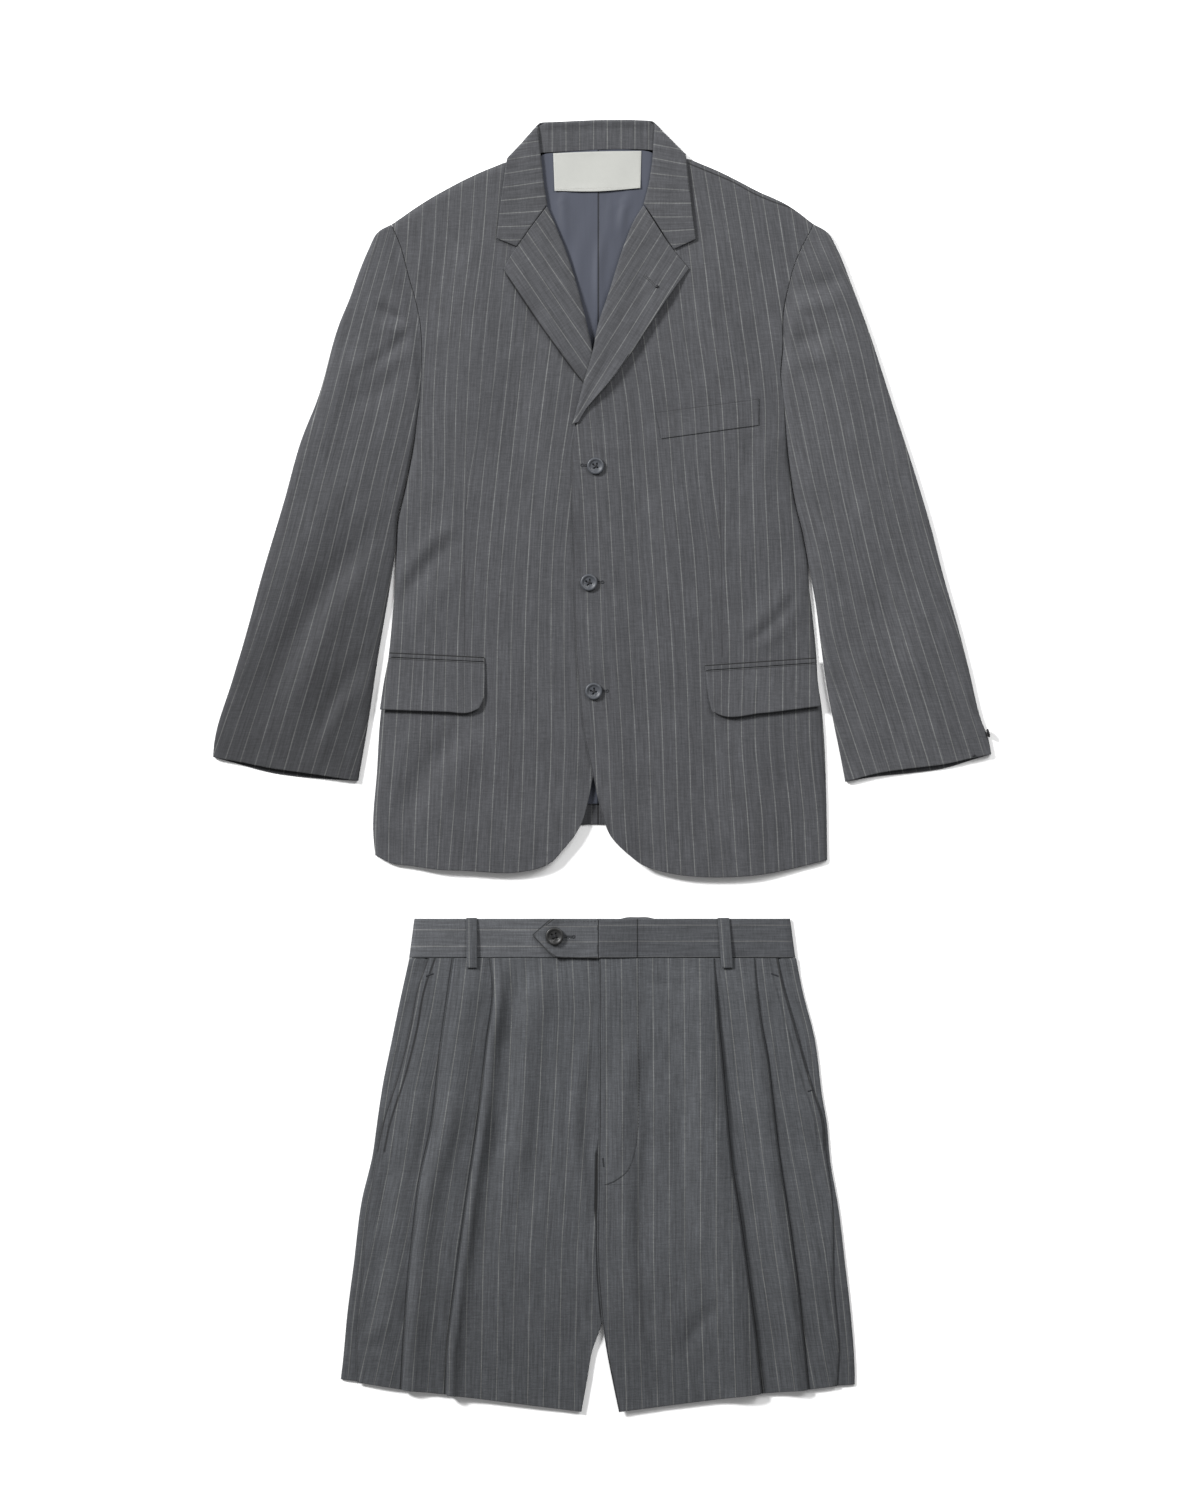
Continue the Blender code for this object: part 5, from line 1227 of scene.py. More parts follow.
def jacket():
    sew(panel("jacket_back", BACK_INSET, BACK_NECK, BACK_HEM, SUITING / 2, SUITING, jacket_wool,
              lambda x, down: 0 * x), "jacket_back")
    sew(panel("jacket_lining", LINING_INSET, LINING_NECK, LINING_HEM, LINING_MIDDLE, LINING, lining_satin,
              lining_relief), "jacket_lining", rests_on=["jacket_back"])
    # Columns: node, armhole, side, shoulder, neck, roll, its setback, edge, hem, height, stripes, dart, shoulder seam,
    # nodes that it rests on
    for node, armhole, side, shoulder, neck, roll, setback, edge, hem, height, stripes, dart, seam_line, rests_on in (
        ("front_right", ARMHOLE_R, SIDE_R, SHOULDER_R, NECK_R, ROLL_R, -ROLL_SETBACK, EDGE_R, HEM_R, front_height_r,
         STRIPES_FRONT_R, DART_R, None, ["jacket_lining"]),
        ("front_left", ARMHOLE_L, SIDE_L, SHOULDER_L, NECK_L, ROLL_L, ROLL_SETBACK, EDGE_L, HEM_L, front_height_l,
         STRIPES_FRONT_L, DART_L, SHOULDER_SEAM_L, ["jacket_lining", "front_right"]),
    ):
        sew(front(node, line(armhole + side[1:], corners=(len(armhole) - 1,)),
                  line(neck + beside(roll, setback)[:-1] + edge), line(shoulder, corners=(4,)),
                  sampled(shoulder[:5], 60), line(hem), height, stripes, dart, seam_line), node, rests_on)
    # Columns: node, roll, edge, gorge, end, height, how far the edge stands off, and for its stripes: x and down of a
    # point, slope, distance between two
    for node, roll, edge, gorge, end, height, lift, stripe in (
        ("lapel_right", ROLL_R, LAPEL_EDGE_R, GORGE_R, LAPEL_END_R, front_height_r, 2.6, (-94.5, 147.9, 0.68, 17.27)),
        ("lapel_left", ROLL_L, LAPEL_EDGE_L, GORGE_L, LAPEL_END_L, front_height_l, 4.2, (30.1, 147.9, -0.62, 15.35)),
    ):
        sew(lapel(node, line(roll), line(edge), line(gorge), line(end), height, lift, stripe), node,
            rests_on=[node.replace("lapel", "front")])
    sew(collar(), "collar", rests_on=["front_right", "front_left"])
    sew(stand(), "collar_stand", rests_on=["collar"])
    for node, sign, armhole, outer, inner, cuff, stripes, fold_rows, material in (
        ("sleeve_right", -1, ARMHOLE_R, SLEEVE_OUTER_R, SLEEVE_INNER_R, CUFF_R, STRIPES_SLEEVE_R, FOLDS_SLEEVE_R,
         shaded_sleeve_wool),
        ("sleeve_left", 1, ARMHOLE_L, SLEEVE_OUTER_L, SLEEVE_INNER_L, CUFF_L, STRIPES_SLEEVE_L, FOLDS_SLEEVE_L,
         sleeve_wool),
    ):
        head = [(x + sign * SEAM * 0.8, down) for x, down in armhole]
        sew(sleeve(node, line([head[0]] + outer[1:]), line([head[-1]] + inner[1:]), line(head), line(cuff), stripes,
                   fold_rows, material), node)
    field_r = stripe_field(*STRIPES_FRONT_R, JACKET_PITCH)
    field_l = stripe_field(*STRIPES_FRONT_L, JACKET_PITCH)
    # Columns: node, outline, height below it, wall, rows of points, stripes, puff, lift, strength of its line
    for node, edges, height, wall, rows, field, puff, lift, seam in (
        ("pocket_flap_right", FLAP_R, front_height_r, FLAP_WALL, 22, field_r, 0.5, 2.8, 0.8),
        ("pocket_flap_left", FLAP_L, front_height_l, FLAP_WALL, 22, field_l, 0.5, 2.8, 0.8),
        ("pocket_welt_right", WELT_R, front_height_r, WELT_WALL, 6, field_r, 0.3, 0.0, 1.2),
        ("pocket_welt_left", WELT_L, front_height_l, WELT_WALL, 6, field_l, 0.3, 0.0, 1.2),
        ("chest_welt", CHEST_WELT, front_height_l, CHEST_WELT_WALL, 12, field_l, 0.1, 0.0, 0.5),
    ):
        sew(laid_on(node, edges, height, wall, rows, field, puff, lift, seam), node,
            rests_on=["front_right" if node.endswith("right") else "front_left"])
    sew(label(), "label", rests_on=["jacket_lining"])


# --- shorts ---


FLY_STITCH = line([(37.5, 45), (37.6, 120), (38.0, 190), (37.2, 225), (34, 246), (28, 264), (14, 276.5), (-2, 283)])(
    np.linspace(0, 1, 240))
FLY_MIDDLE = np.array([-4.0, 150.0])


def pleat_form(strip, side, from_edge, down, rise, lift):
    """How the upper layer of a pleat stands up towards its folded edge. side is -1 for the leg on the left."""
    if side > 0:
        high, top, edge_wide, wide = ((2.6 + 2.8 * lift, 13, 15, 22), (2.0 + 2.4 * lift, 7, 8.5, 11))[strip]
        return high * rise * np.exp(-(((from_edge - top) / np.where(from_edge < top, edge_wide, wide)) ** 2))
    uneven = 1 + 0.14 * np.sin(down / 33.0) + 0.09 * np.sin(down / 17.0 + 1.0)
    if strip == 0:
        low = 1 - 0.8 * ramp(down, 380, 450)
        upper = 1 - 0.6 * ramp(down, 230, 330)
        return rise * uneven * ((4.0 + 1.6 * low) * np.exp(-(((from_edge - 3.5) / 7.0) ** 2))
                                - 2.1 * low * upper * np.exp(-(((from_edge - 21) / 8.0) ** 2))
                                + 4.3 * low * upper * np.exp(-(((from_edge - 45) / 14.0) ** 2)))
    middle = 6 + 11 * (1 - ramp(down, 190, 320))
    wide = np.where(from_edge < middle, 0.92 * middle, 13.0)
    return rise * uneven * (1.9 + 3.4 * lift) * np.exp(-(((from_edge - middle) / wide) ** 2))


PLEAT_POINTS = 11
FOLD_ARC = np.linspace(30, 150, 5) * math.pi / 180
UP = np.array([0, 0, 1.0])


def leg_front(node, rows, leads, stripes, fold_rows, side):
    """A front of the shorts in three strips, from the middle to the side, with a pleat at the end of the first two.

    rows are its four lines, leads is 1 for the leg with the fly, and side is -1 for the leg on the left.
    """
    inner, pleat_a, pleat_b, seam = map(line, rows)
    grid, coords, seams = [], [], []
    for v in np.concatenate([[0, 0.003, 0.008], np.linspace(0.016, 0.988, 132), [0.994, 0.9975, 1]]):
        line_at = []
        depth = PLEAT_DEPTH_WAIST + (PLEAT_DEPTH_HEM - PLEAT_DEPTH_WAIST) * v
        rise = ramp(v, 0, 0.1)
        lift = ramp(v, 0.02, 0.34) * (1 - 0.6 * ramp(v, 0.8, 1))
        starts = inner(v), pleat_a(v), pleat_b(v)
        ends = pleat_a(v), pleat_b(v), seam(v)
        path, uvs = [], []
        for strip in range(3):
            start, end = starts[strip], ends[strip]
            width = np.linalg.norm(end - start)
            if strip == 0:
                spots = np.concatenate([[0, 1.3, 2.8, 5], np.linspace(8, width - depth, 38)])
            elif strip == 1:
                spots = np.linspace(3.0, width - depth, 8)
            else:
                spots = np.concatenate([np.linspace(3.0, width - 5, 10), [width - 2.8, width - 1.3, width]])
            if strip < 2:
                spots = np.concatenate([spots, np.linspace(width - depth, width, PLEAT_POINTS)[1:]])
            flat = start + (end - start) * (spots / width)[:, None]
            x, down = flat[:, 0], flat[:, 1]
            from_edge = width - spots
            z = np.full(len(spots), LEG_LEVEL)
            if strip < 2:
                z = z + (2 * PLEAT_STEP - PLEAT_OVERRISE) * (1 - ramp(from_edge, depth, depth + 30))
                z = z + pleat_form(strip, side, from_edge, down, rise, lift)
            if strip == 0:
                z = z + 1.6 * ramp(spots, 18, 50) * (1 - ramp(from_edge, 20, 50) * 0.5) * rise
            wide = folds(fold_rows, x, down) + ripple(x, down, 0.22)
            keep = ramp(spots, 4, 16) * (ramp(from_edge, 1, 14) if strip < 2 else ramp(from_edge, 2, 12))
            z = z + wide * keep * ramp(v, 0.0, 0.06)
            if strip > 0 and side < 0:
                deep, reach_in = ((0.9, 9), (2.4, 17))[strip - 1]
                z = z + deep * lift * ramp(spots, 3, reach_in) * (1 - 0.7 * ramp(spots, reach_in + 4, reach_in + 26))
            if strip == 0:
                z = z + FLY_LIFT * leads * (1 - ramp(spots, 17, 50))
            if strip == 2:
                z = z - 0.15 * ramp(from_edge, 3, 0)
            where = np.interp(down, [r[0] for r in stripes[strip]], [r[1] for r in stripes[strip]])
            s = (x - where) / SHORTS_PITCH
            path += list(np.column_stack([flat, z]))
            uvs += list(np.column_stack([s, down / SHORTS_PITCH]))
            # Distances to the seams and to the painted shadow lines, with a sign, so that they pass through nought
            # between two points
            strength = np.full(len(spots), 1.0)
            if strip == 0:
                away = spots - 0.9
                if side > 0:
                    gaps = flat[:, None, :] - FLY_STITCH[None]
                    nearest = (gaps**2).sum(-1).argmin(1)
                    reach_out = np.linalg.norm(FLY_STITCH[nearest] - FLY_MIDDLE, axis=1) - np.linalg.norm(
                        flat - FLY_MIDDLE, axis=1)
                    on_fly = np.sign(reach_out) * np.sqrt((gaps**2).sum(-1).min(1))
                    away = np.minimum(away, on_fly) if down[0] < 283 else away
                    # Painted shade at full strength near the inner edge, where this front lies over the other at the
                    # fly; elsewhere the line is the fly's stitching
                    strength = np.where(spots < 6, 1.0, 0.36 + 0.5 * ramp(down, 262, 276))
                else:
                    # Painted shadow: a dark line beside the edge of the left front, which lies over this one, widened
                    # to a nearly black patch under the fly's lower end, from 238 to 328 down
                    over_edge = x_along(LEG_INNER_L)(down)
                    broad = ramp(down, 238, 250) * (1 - ramp(down, 304, 328))
                    away = (x - over_edge + 1.0 + 1.2 * broad) * (0.9 - 0.5 * broad)
                    strength[:] = (0.95 + 0.35 * broad) * ramp(down, 228, 250) * (1 - ramp(down, 418, 426))
            else:
                # Painted shadow: a dark line on each strip just beyond the folded edge of the pleat that lies over it.
                # On the right front it is darkest beside the second pleat near the hem, where the pleat opens; on the
                # left front it grows stronger below the waist
                away = spots - (3.3 if side < 0 else 2.9)
                strength[:] = 0.6 if strip == 1 else 0.75 + 0.25 * ramp(down[0], 440, 460)
                if side > 0:
                    strength[:] = 0.5 + 0.5 * ramp(down[0], 60, 150)
                if strip == 2:
                    open_here = down[-1] < POCKET_END
                    away = np.minimum(away, 0.65 * np.maximum(0.7 - from_edge, from_edge - 8.0))
                    strength[from_edge < 14] = (0.95 if side < 0 else 0.4) if open_here else 0.0
                    strength[from_edge < 4] = 0.95 if open_here else 0.45 if side < 0 else 0.3
            line_at += list(zip(np.clip(away, -SEAM_FAR, SEAM_FAR), strength))
            if strip == 2:
                continue
            # The fold: round the edge, back under by the pleat's depth, round again and out at the lower level
            reach = np.append((end - start) / width, 0)
            upper = np.column_stack([flat, z])[-PLEAT_POINTS:]
            edge, root = upper[-1], upper[0]
            radius = PLEAT_STEP / 2
            per = SHORTS_PITCH * (1 if side > 0 else -1)
            length = s[-1]
            for angle in FOLD_ARC:
                path.append(edge - UP * radius * (1 - math.cos(angle)) + reach * radius * math.sin(angle))
                uvs.append((length + radius * angle / per, down[-1] / SHORTS_PITCH))
            drop_edge = max(0.0, edge[2] - LEG_LEVEL - 2 * PLEAT_STEP)
            for k in (1, 2):
                layer = upper[::-1] if k == 1 else upper
                shares = np.linspace(1, 0, PLEAT_POINTS) if k == 1 else np.linspace(0, 1, PLEAT_POINTS)
                for point, share in zip(layer[::2], shares[::2]):
                    sink = drop_edge * (0.55 if k == 1 else 1.0) * share
                    path.append(point - UP * (k * PLEAT_STEP + sink))
                    uvs.append((length + (radius * math.pi + depth * (1 - share if k == 1 else 1 + share)) / per,
                                down[-1] / SHORTS_PITCH))
                if k == 1:
                    for angle in FOLD_ARC:
                        path.append(root - UP * (PLEAT_STEP + radius * (1 - math.cos(angle)))
                                    - reach * radius * math.sin(angle))
                        uvs.append((length + (radius * math.pi + depth) / per, down[-1] / SHORTS_PITCH))
            line_at += [(SEAM_FAR, 0.0)] * (len(path) - len(line_at))
        grid.append(path)
        coords.append(uvs)
        seams.append(line_at)
    return shell(node + "_cloth", np.array(grid), SHORTS_WALL, np.array(coords), SHORTS_TOP, shorts_wool,
                 seams=np.array(seams))


def side_panel(node, inner, outer, sign):
    """The pocket's bearer and the part of the back that wraps to the front, in one strip."""
    inner, outer = line(inner), line(outer)
    grid = []
    for v in np.concatenate([[0, 0.004], np.linspace(0.01, 0.99, 90), [0.996, 1]]):
        start, end = outer(v), inner(v)
        width = np.linalg.norm(end - start)
        spots = np.concatenate([[0.6, 1.6, 2.4, 3.4], np.linspace(4.6, width - 1.2, 12), [width]])
        flat = start + (end - start) * (spots / width)[:, None]
        drop = 1.4 * np.clip(1 - spots / 5.0, 0, 1) ** 2
        rise = 1.3 * (1 - ramp(flat[:, 1], 44, 62)) * (1 - ramp(spots, width - 19, width - 14))
        grid.append(np.column_stack([flat, SIDE_LEVEL + rise - drop]))
    grid = np.array(grid)
    away = grid[..., 0] - outer(np.linspace(0, 1, len(grid)))[:, 0][:, None]
    coords = np.stack([(sign * away - 7.0) / SHORTS_PITCH, grid[..., 1] / SHORTS_PITCH], -1)
    return shell(node + "_cloth", grid, SHORTS_WALL, coords, SHORTS_TOP, shorts_wool)


def between(node, left, right, top, bottom, middle, wall, material, pitch, across=46, along=60, turned=False,
            relief=None, shift=0.0, outline=None):
    """A flat sheet between four lines. turned lays its stripes level, and outline is a line along its edge that is
    drawn dark on it, painted shade at its rim.
    """
    surface = patch(left, right, top, bottom)
    u, v = np.meshgrid(np.concatenate([[0, 0.012], np.linspace(0.03, 0.97, across), [0.988, 1]]),
                       np.concatenate([[0, 0.01], np.linspace(0.025, 0.975, along), [0.99, 1]]))
    flat = surface(u, v)
    x, down = flat[..., 0], flat[..., 1]
    z = np.full(x.shape, middle)
    if relief is not None:
        z = z + relief(x, down, u, v)
    s, t = ((down - shift) / pitch, x / pitch) if turned else ((x - shift) / pitch, down / pitch)
    seams = None
    if outline is not None:
        # Painted shade: a dark line 0.8 mm inside the outline
        away = np.sqrt(((flat[..., None, :] - np.asarray(outline)) ** 2).sum(-1)).min(-1)
        seams = np.stack([(away - 0.8) * 0.6, np.full(x.shape, 0.9)], -1)
    return shell(node + "_cloth", np.stack([x, down, z], -1), wall, np.stack([s, t], -1), SHORTS_TOP, material,
                 seams=seams)


def beside_tab(x, down):
    """How far a point lies inside the two slanted edges of the tab's point."""
    steep = []
    for (x0, down0), (x1, down1) in ((TAB_POINT, TAB_CORNER), (TAB_LOW_CORNER, TAB_POINT)):
        long = math.hypot(x1 - x0, down1 - down0)
        steep.append(((x - x0) * (down0 - down1) + (down - down0) * (x1 - x0)) / long)
    return np.minimum(*steep)


FLY_SEAM_X = 37.0


def band(node, start, end, height, material, first, pitch):
    """One front half of the waistband. first is how far down a stripe runs."""
    left = node.endswith("left")
    ends = np.array([0, 1.6, 3.2, 5.2, 8])
    xs = np.concatenate([start + ends, np.arange(start + 11, end - 10, 3.2), end - ends[::-1]])
    shares = np.concatenate([[0, 0.04], np.linspace(0.09, 0.91, 14), [0.96, 1]])
    x, share = np.meshgrid(xs, shares, indexing="ij")
    spread_out = 1 + (BAND_HALF_SEAM / BAND_HALF_TOP - 1) * np.minimum(1, np.abs(x) / BAND_HALF_TOP)
    down = BAND_TOP + (BAND_SEAM - BAND_TOP) * share
    wide = x * (1 + (spread_out - 1) * share)
    z = height(x) + 0.35 * np.sin(math.pi * share) + 0.12 * np.sin(x / 17.0) * np.sin(math.pi * share)
    s = (down - first) / pitch
    # On the right half, a painted shadow line on the band just outside the tab's slanted edges; on the left half, the
    # seam at the fly
    away = wide - FLY_SEAM_X if left else (beside_tab(wide, down) + 0.5) * 1.1
    return shell(node + "_cloth", np.stack([wide, down, z], -1), BAND_WALL, np.stack([s, wide / BAND_PITCH], -1),
                 SHORTS_TOP, material, seams=np.stack([away, np.full(x.shape, 1.0 if left else 0.8)], -1))


def band_end(inwards):
    """How far the waistband turns down at its side."""
    return BAND_END_DROP * np.clip(1 - inwards / BAND_END_WIDTH, 0, 1) ** 2


def band_height_r(x):
    return BAND_LEVEL - band_end(x + BAND_HALF_TOP)


def band_height_l(x):
    over = (BAND_WALL + LAYER_GAP) * (1 - ramp(x, 14, 46))
    return BAND_LEVEL + over - band_end(BAND_HALF_TOP - x)


BAND_FACE = BAND_LEVEL + BAND_WALL / 2
TAB_MIDDLE = BAND_FACE + LAYER_GAP + TAB_WALL / 2
TAB_FACE = TAB_MIDDLE + TAB_WALL / 2
TAB_END = BAND_OVER_END - 0.6
TAB_END_TOP = (TAB_END, 1.8)
TAB_END_LOW = (TAB_END, 43.4)


def tab_relief(x, down, u, v):
    """The tab bends up towards its point and its lower edge."""
    return 0.3 * np.sin(math.pi * v) + 1.9 * (1 - ramp(u, 0, 0.32)) + 0.6 * v**2


def belt_loop(node, top_ends, low_ends):
    share, side = np.meshgrid(np.concatenate([[0, 0.03], np.linspace(0.06, 0.94, 26), [0.97, 1]]),
                              np.concatenate([[0, 0.14], np.linspace(0.24, 0.76, 5), [0.86, 1]]), indexing="ij")
    a, b = [top + (low - top) * share for top, low in zip(top_ends, low_ends)]
    x, down = a + (b - a) * side, LOOP_TOP + (LOOP_DOWN - LOOP_TOP) * share
    z = BAND_FACE + LAYER_GAP + LOOP_WALL / 2 + 0.9 * np.sin(math.pi * share) + LOOP_RISE * share
    z = z + 0.3 * np.sin(math.pi * side)
    coords = np.stack([(x - (a + b) / 2) / SHORTS_PITCH + 0.17, down / SHORTS_PITCH], -1)
    return shell(node + "_cloth", np.stack([x, down, z], -1), LOOP_WALL, coords, SHORTS_TOP, shorts_wool)


def shorts():
    for node, rows, leads, stripes, fold_rows, side, rests_on in (
        ("shorts_front_right", (LEG_INNER_R, PLEAT_INNER_R, PLEAT_OUTER_R, FRONT_SIDE_R), 0, LEG_STRIPES_R, FOLDS_LEG_R,
         -1, ["shorts_back_right"]),
        ("shorts_front_left", (LEG_INNER_L, PLEAT_INNER_L, PLEAT_OUTER_L, FRONT_SIDE_L), 1, LEG_STRIPES_L, FOLDS_LEG_L,
         1, ["shorts_back_left", "shorts_front_right"]),
    ):
        sew(leg_front(node, rows, leads, stripes, fold_rows, side), node, rests_on)
    for side, inner, outer, sign in (("right", PANEL_INNER_R, LEG_OUTER_R, 1),
                                     ("left", PANEL_INNER_L, LEG_OUTER_L, -1)):
        sew(side_panel(f"side_panel_{side}", inner, outer, sign), f"side_panel_{side}",
            rests_on=[f"shorts_back_{side}"])
    for node, outer, inner, sign in (("shorts_back_right", LEG_OUTER_R, LEG_INNER_R, -1),
                                     ("shorts_back_left", LEG_OUTER_L, LEG_INNER_L, 1)):
        side = sampled(outer, 24) - np.array([sign * BACK_INSET, 0])
        side[-1, 1] -= 3
        leg = sampled([row for row in inner if row[1] > CROTCH], 8) + np.array([sign * 1.2, 0])
        leg[-1, 1] -= 3
        middle = np.concatenate([[(sign * SEAM / 2, 43.0), (sign * SEAM / 2, CROTCH)], leg])
        sew(between(node, line(side), line(middle, corners=(1,)), line([side[0], middle[0]]),
                    line([side[-1], leg[-1]]), SUITING / 2, SUITING, shorts_wool, SHORTS_PITCH), node)
    top_end = BAND_HALF_TOP - BACK_INSET - 0.5
    low_end = BAND_HALF_SEAM - BACK_INSET - 0.5
    rise = [(-top_end, BAND_TOP), (20, BAND_TOP)] + [(x, BAND_TOP - by) for x, by in BACK_RISE]
    rise += [(54, BAND_TOP), (top_end, BAND_TOP)]
    sew(between("waistband_back", line([(-top_end, BAND_TOP), (-low_end, BAND_SEAM)]),
                line([(top_end, BAND_TOP), (low_end, BAND_SEAM)]), line(rise),
                line([(-low_end, BAND_SEAM), (low_end, BAND_SEAM)]), BACK_BAND_WALL / 2, BACK_BAND_WALL, band_wool,
                BAND_PITCH, 110, 14, True, shift=13.7), "waistband_back")
    sew(band("waistband_right", -BAND_HALF_TOP, BAND_UNDER_END, band_height_r, band_wool, 13.2, 17.3),
        "waistband_right", rests_on=["waistband_back"])
    sew(band("waistband_left", BAND_OVER_END, BAND_HALF_TOP, band_height_l, dark_band_wool, 8.4, 16.8),
        "waistband_left", rests_on=["waistband_back", "waistband_right"])
    point = [TAB_CORNER, TAB_POINT, TAB_LOW_CORNER]
    sew(between("waist_tab", line(point, corners=(1,)), line([TAB_END_TOP, TAB_END_LOW]),
                line([TAB_CORNER, TAB_END_TOP]), line([TAB_LOW_CORNER, TAB_END_LOW]), TAB_MIDDLE, TAB_WALL, tab_wool,
                16.2, 40, 26, True, tab_relief, shift=9.6, outline=sampled(point + [TAB_END_LOW], 120)),
        "waist_tab", rests_on=["waistband_right"])
    for side, ends in (("right", LOOP_R), ("left", LOOP_L)):
        sew(belt_loop(f"belt_loop_{side}", *ends), f"belt_loop_{side}",
            rests_on=[f"waistband_{side}"])


# --- buttons, buttonholes and stitches ---


def tube(path, radius, sides=6):
    """Points and faces of a tube with closed round ends along a path of points."""
    path = np.asarray(path, float)
    ahead = unit(np.gradient(path, axis=0))
    side = unit(np.cross(ahead, np.array([0.13, 0.21, 0.97])))
    up = np.cross(side, ahead)
    angle = np.arange(sides) * 2 * math.pi / sides
    shares = np.concatenate([[0.45], np.ones(len(path) - 2), [0.45]]) * radius
    rings = path[:, None] + shares[:, None, None] * (side[:, None] * np.cos(angle)[None, :, None]
                                                     + up[:, None] * np.sin(angle)[None, :, None])
    verts = rings.reshape(-1, 3)
    faces = []
    for i in range(len(path) - 1):
        for j in range(sides):
            k = (j + 1) % sides
            faces.append((i * sides + j, i * sides + k, (i + 1) * sides + k, (i + 1) * sides + j))
    faces.append(tuple(range(sides))[::-1])
    faces.append(tuple((len(path) - 1) * sides + j for j in range(sides)))
    return verts, faces


class Threads:
    """Many short threads gathered into one mesh."""

    def __init__(self):
        self.verts = []
        self.faces = []
        self.count = 0

    def add(self, path, radius, sides=6):
        verts, faces = tube(path, radius, sides)
        self.verts.append(verts)
        self.faces += [tuple(i + self.count for i in face) for face in faces]
        self.count += len(verts)

    def row(self, path, height, top, long=2.6, gap=1.1, radius=0.17, sunk=0.02):
        """Running stitches along a line of (x, down), lying in the cloth whose height is given."""
        path = np.asarray(path, float)
        along = np.concatenate([[0], np.cumsum(np.linalg.norm(np.diff(path, axis=0), axis=1))])
        at = 0.6
        while at + long < along[-1]:
            s = np.linspace(at, at + long, 5)
            x = np.interp(s, along, path[:, 0])
            down = np.interp(s, along, path[:, 1])
            z = height(x, down) - sunk + radius * np.array([-0.9, 0.35, 0.6, 0.35, -0.9])
            self.add(np.stack([x, top - down, z], -1), radius)
            at += long + gap

    def object(self, name, material, slot):
        obj = solid_mesh(name, np.concatenate(self.verts), self.faces, material)
        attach(obj, "root")
        return obj


# Shares of a button's radius and thickness, from the middle of its upper face to the middle of its underside
BUTTON_PROFILE = [
    (0.0, 0.52), (0.3, 0.53), (0.56, 0.57), (0.64, 0.66), (0.7, 0.86), (0.76, 0.97), (0.83, 1.0), (0.91, 0.95),
    (0.97, 0.8), (1.0, 0.55), (0.985, 0.32), (0.92, 0.12), (0.82, 0.02), (0.7, 0.0), (0.0, 0.0),
]
BUTTON_TURNS = 64
BUTTON_FACE = 0.56
HOLE_SPOT = 0.21
HOLE_RADIUS = 0.105
HOLE_TURNS = 16


def circle(count):
    return [2 * math.pi * k / count for k in range(count)]


def button_mesh(name, across, thick, material):
    """A four-hole button: a round rim, a dished middle and holes cut through it."""
    radius = across / 2
    verts, faces = [(0, 0, BUTTON_PROFILE[0][1] * thick)], []
    for r, z in BUTTON_PROFILE[1:-1]:
        for a in circle(BUTTON_TURNS):
            verts.append((r * radius * math.cos(a), r * radius * math.sin(a), z * thick))
    verts.append((0, 0, 0))
    rings = len(BUTTON_PROFILE) - 3
    for k in range(BUTTON_TURNS):
        n = (k + 1) % BUTTON_TURNS
        faces.append((0, 1 + k, 1 + n))
        for ring in range(rings):
            a, b = 1 + ring * BUTTON_TURNS, 1 + (ring + 1) * BUTTON_TURNS
            faces.append((a + k, b + k, b + n, a + n))
        last = 1 + rings * BUTTON_TURNS
        faces.append((last + n, last + k, len(verts) - 1))
    obj = solid_mesh(name, verts, faces, material)
    spot, hole = radius * HOLE_SPOT, radius * HOLE_RADIUS
    cut_verts, cut_faces = [], []
    for sx, sy in ((1, 1), (1, -1), (-1, -1), (-1, 1)):
        base = len(cut_verts)
        for z in (-1.0, thick + 1.0):
            for a in circle(HOLE_TURNS):
                cut_verts.append((sx * spot + hole * math.cos(a), sy * spot + hole * math.sin(a), z))
        upper = base + HOLE_TURNS
        for k in range(HOLE_TURNS):
            n = (k + 1) % HOLE_TURNS
            cut_faces.append((base + k, base + n, upper + n, upper + k))
        cut_faces.append(tuple(range(base, upper))[::-1])
        cut_faces.append(tuple(range(upper, upper + HOLE_TURNS)))
    cutter = solid_mesh("cutter", cut_verts, cut_faces, material)
    cut = obj.modifiers.new("holes", "BOOLEAN")
    cut.operation = "DIFFERENCE"
    cut.object = cutter
    cut.solver = "EXACT"
    bpy.context.view_layer.update()
    made = bpy.data.meshes.new_from_object(obj.evaluated_get(bpy.context.evaluated_depsgraph_get()))
    obj.modifiers.clear()
    obj.data = made
    bpy.data.objects.remove(cutter, do_unlink=True)
    return obj


def place_button(node, x, down, z, top, across, material, threads, turn):
    """A fastened button in its node's place, with its two bars of thread."""
    obj = button_mesh(node + "_made", across, BUTTON_THICK, material)
    obj.location = (x * MM, (top - down) * MM, z * MM)
    obj.rotation_euler = (0, 0, turn)
    stand_for(obj, node)
    reach = across / 2 * HOLE_SPOT
    level = z + BUTTON_FACE * BUTTON_THICK
    for a in (turn + math.pi / 4, turn + 3 * math.pi / 4):
        for side in (-0.3, 0.3):
            ends = np.array([math.cos(a), math.sin(a)]) * reach * math.sqrt(2)
            off = np.array([-math.sin(a), math.cos(a)]) * side
            path = []
            for share in np.linspace(-1, 1, 9):
                spot = ends * share + off * (1 - 0.4 * abs(share))
                rise = 0.55 * (1 - share**4) - 1.1 * (abs(share) > 0.9)
                path.append((x + spot[0], top - down + spot[1], level + rise))
            threads.add(path, 0.24)


STITCH_RADIUS = 0.23
STITCH_STEP = 0.42
# Heights above the cloth along one stitch: of a buttonhole, rising from its slit, and of a bar tack, over its line
HOLE_STITCH = np.array([0.12, 0.3, 0.28, -0.12])
TACK_STITCH = np.array([-0.12, 0.2, 0.2, -0.12])


def stitch(threads, path, heights, face, top):
    path = np.array(path)
    z = face(path[:, 0], path[:, 1]) + heights
    threads.add(np.stack([path[:, 0], top - path[:, 1], z], -1), STITCH_RADIUS, 5)


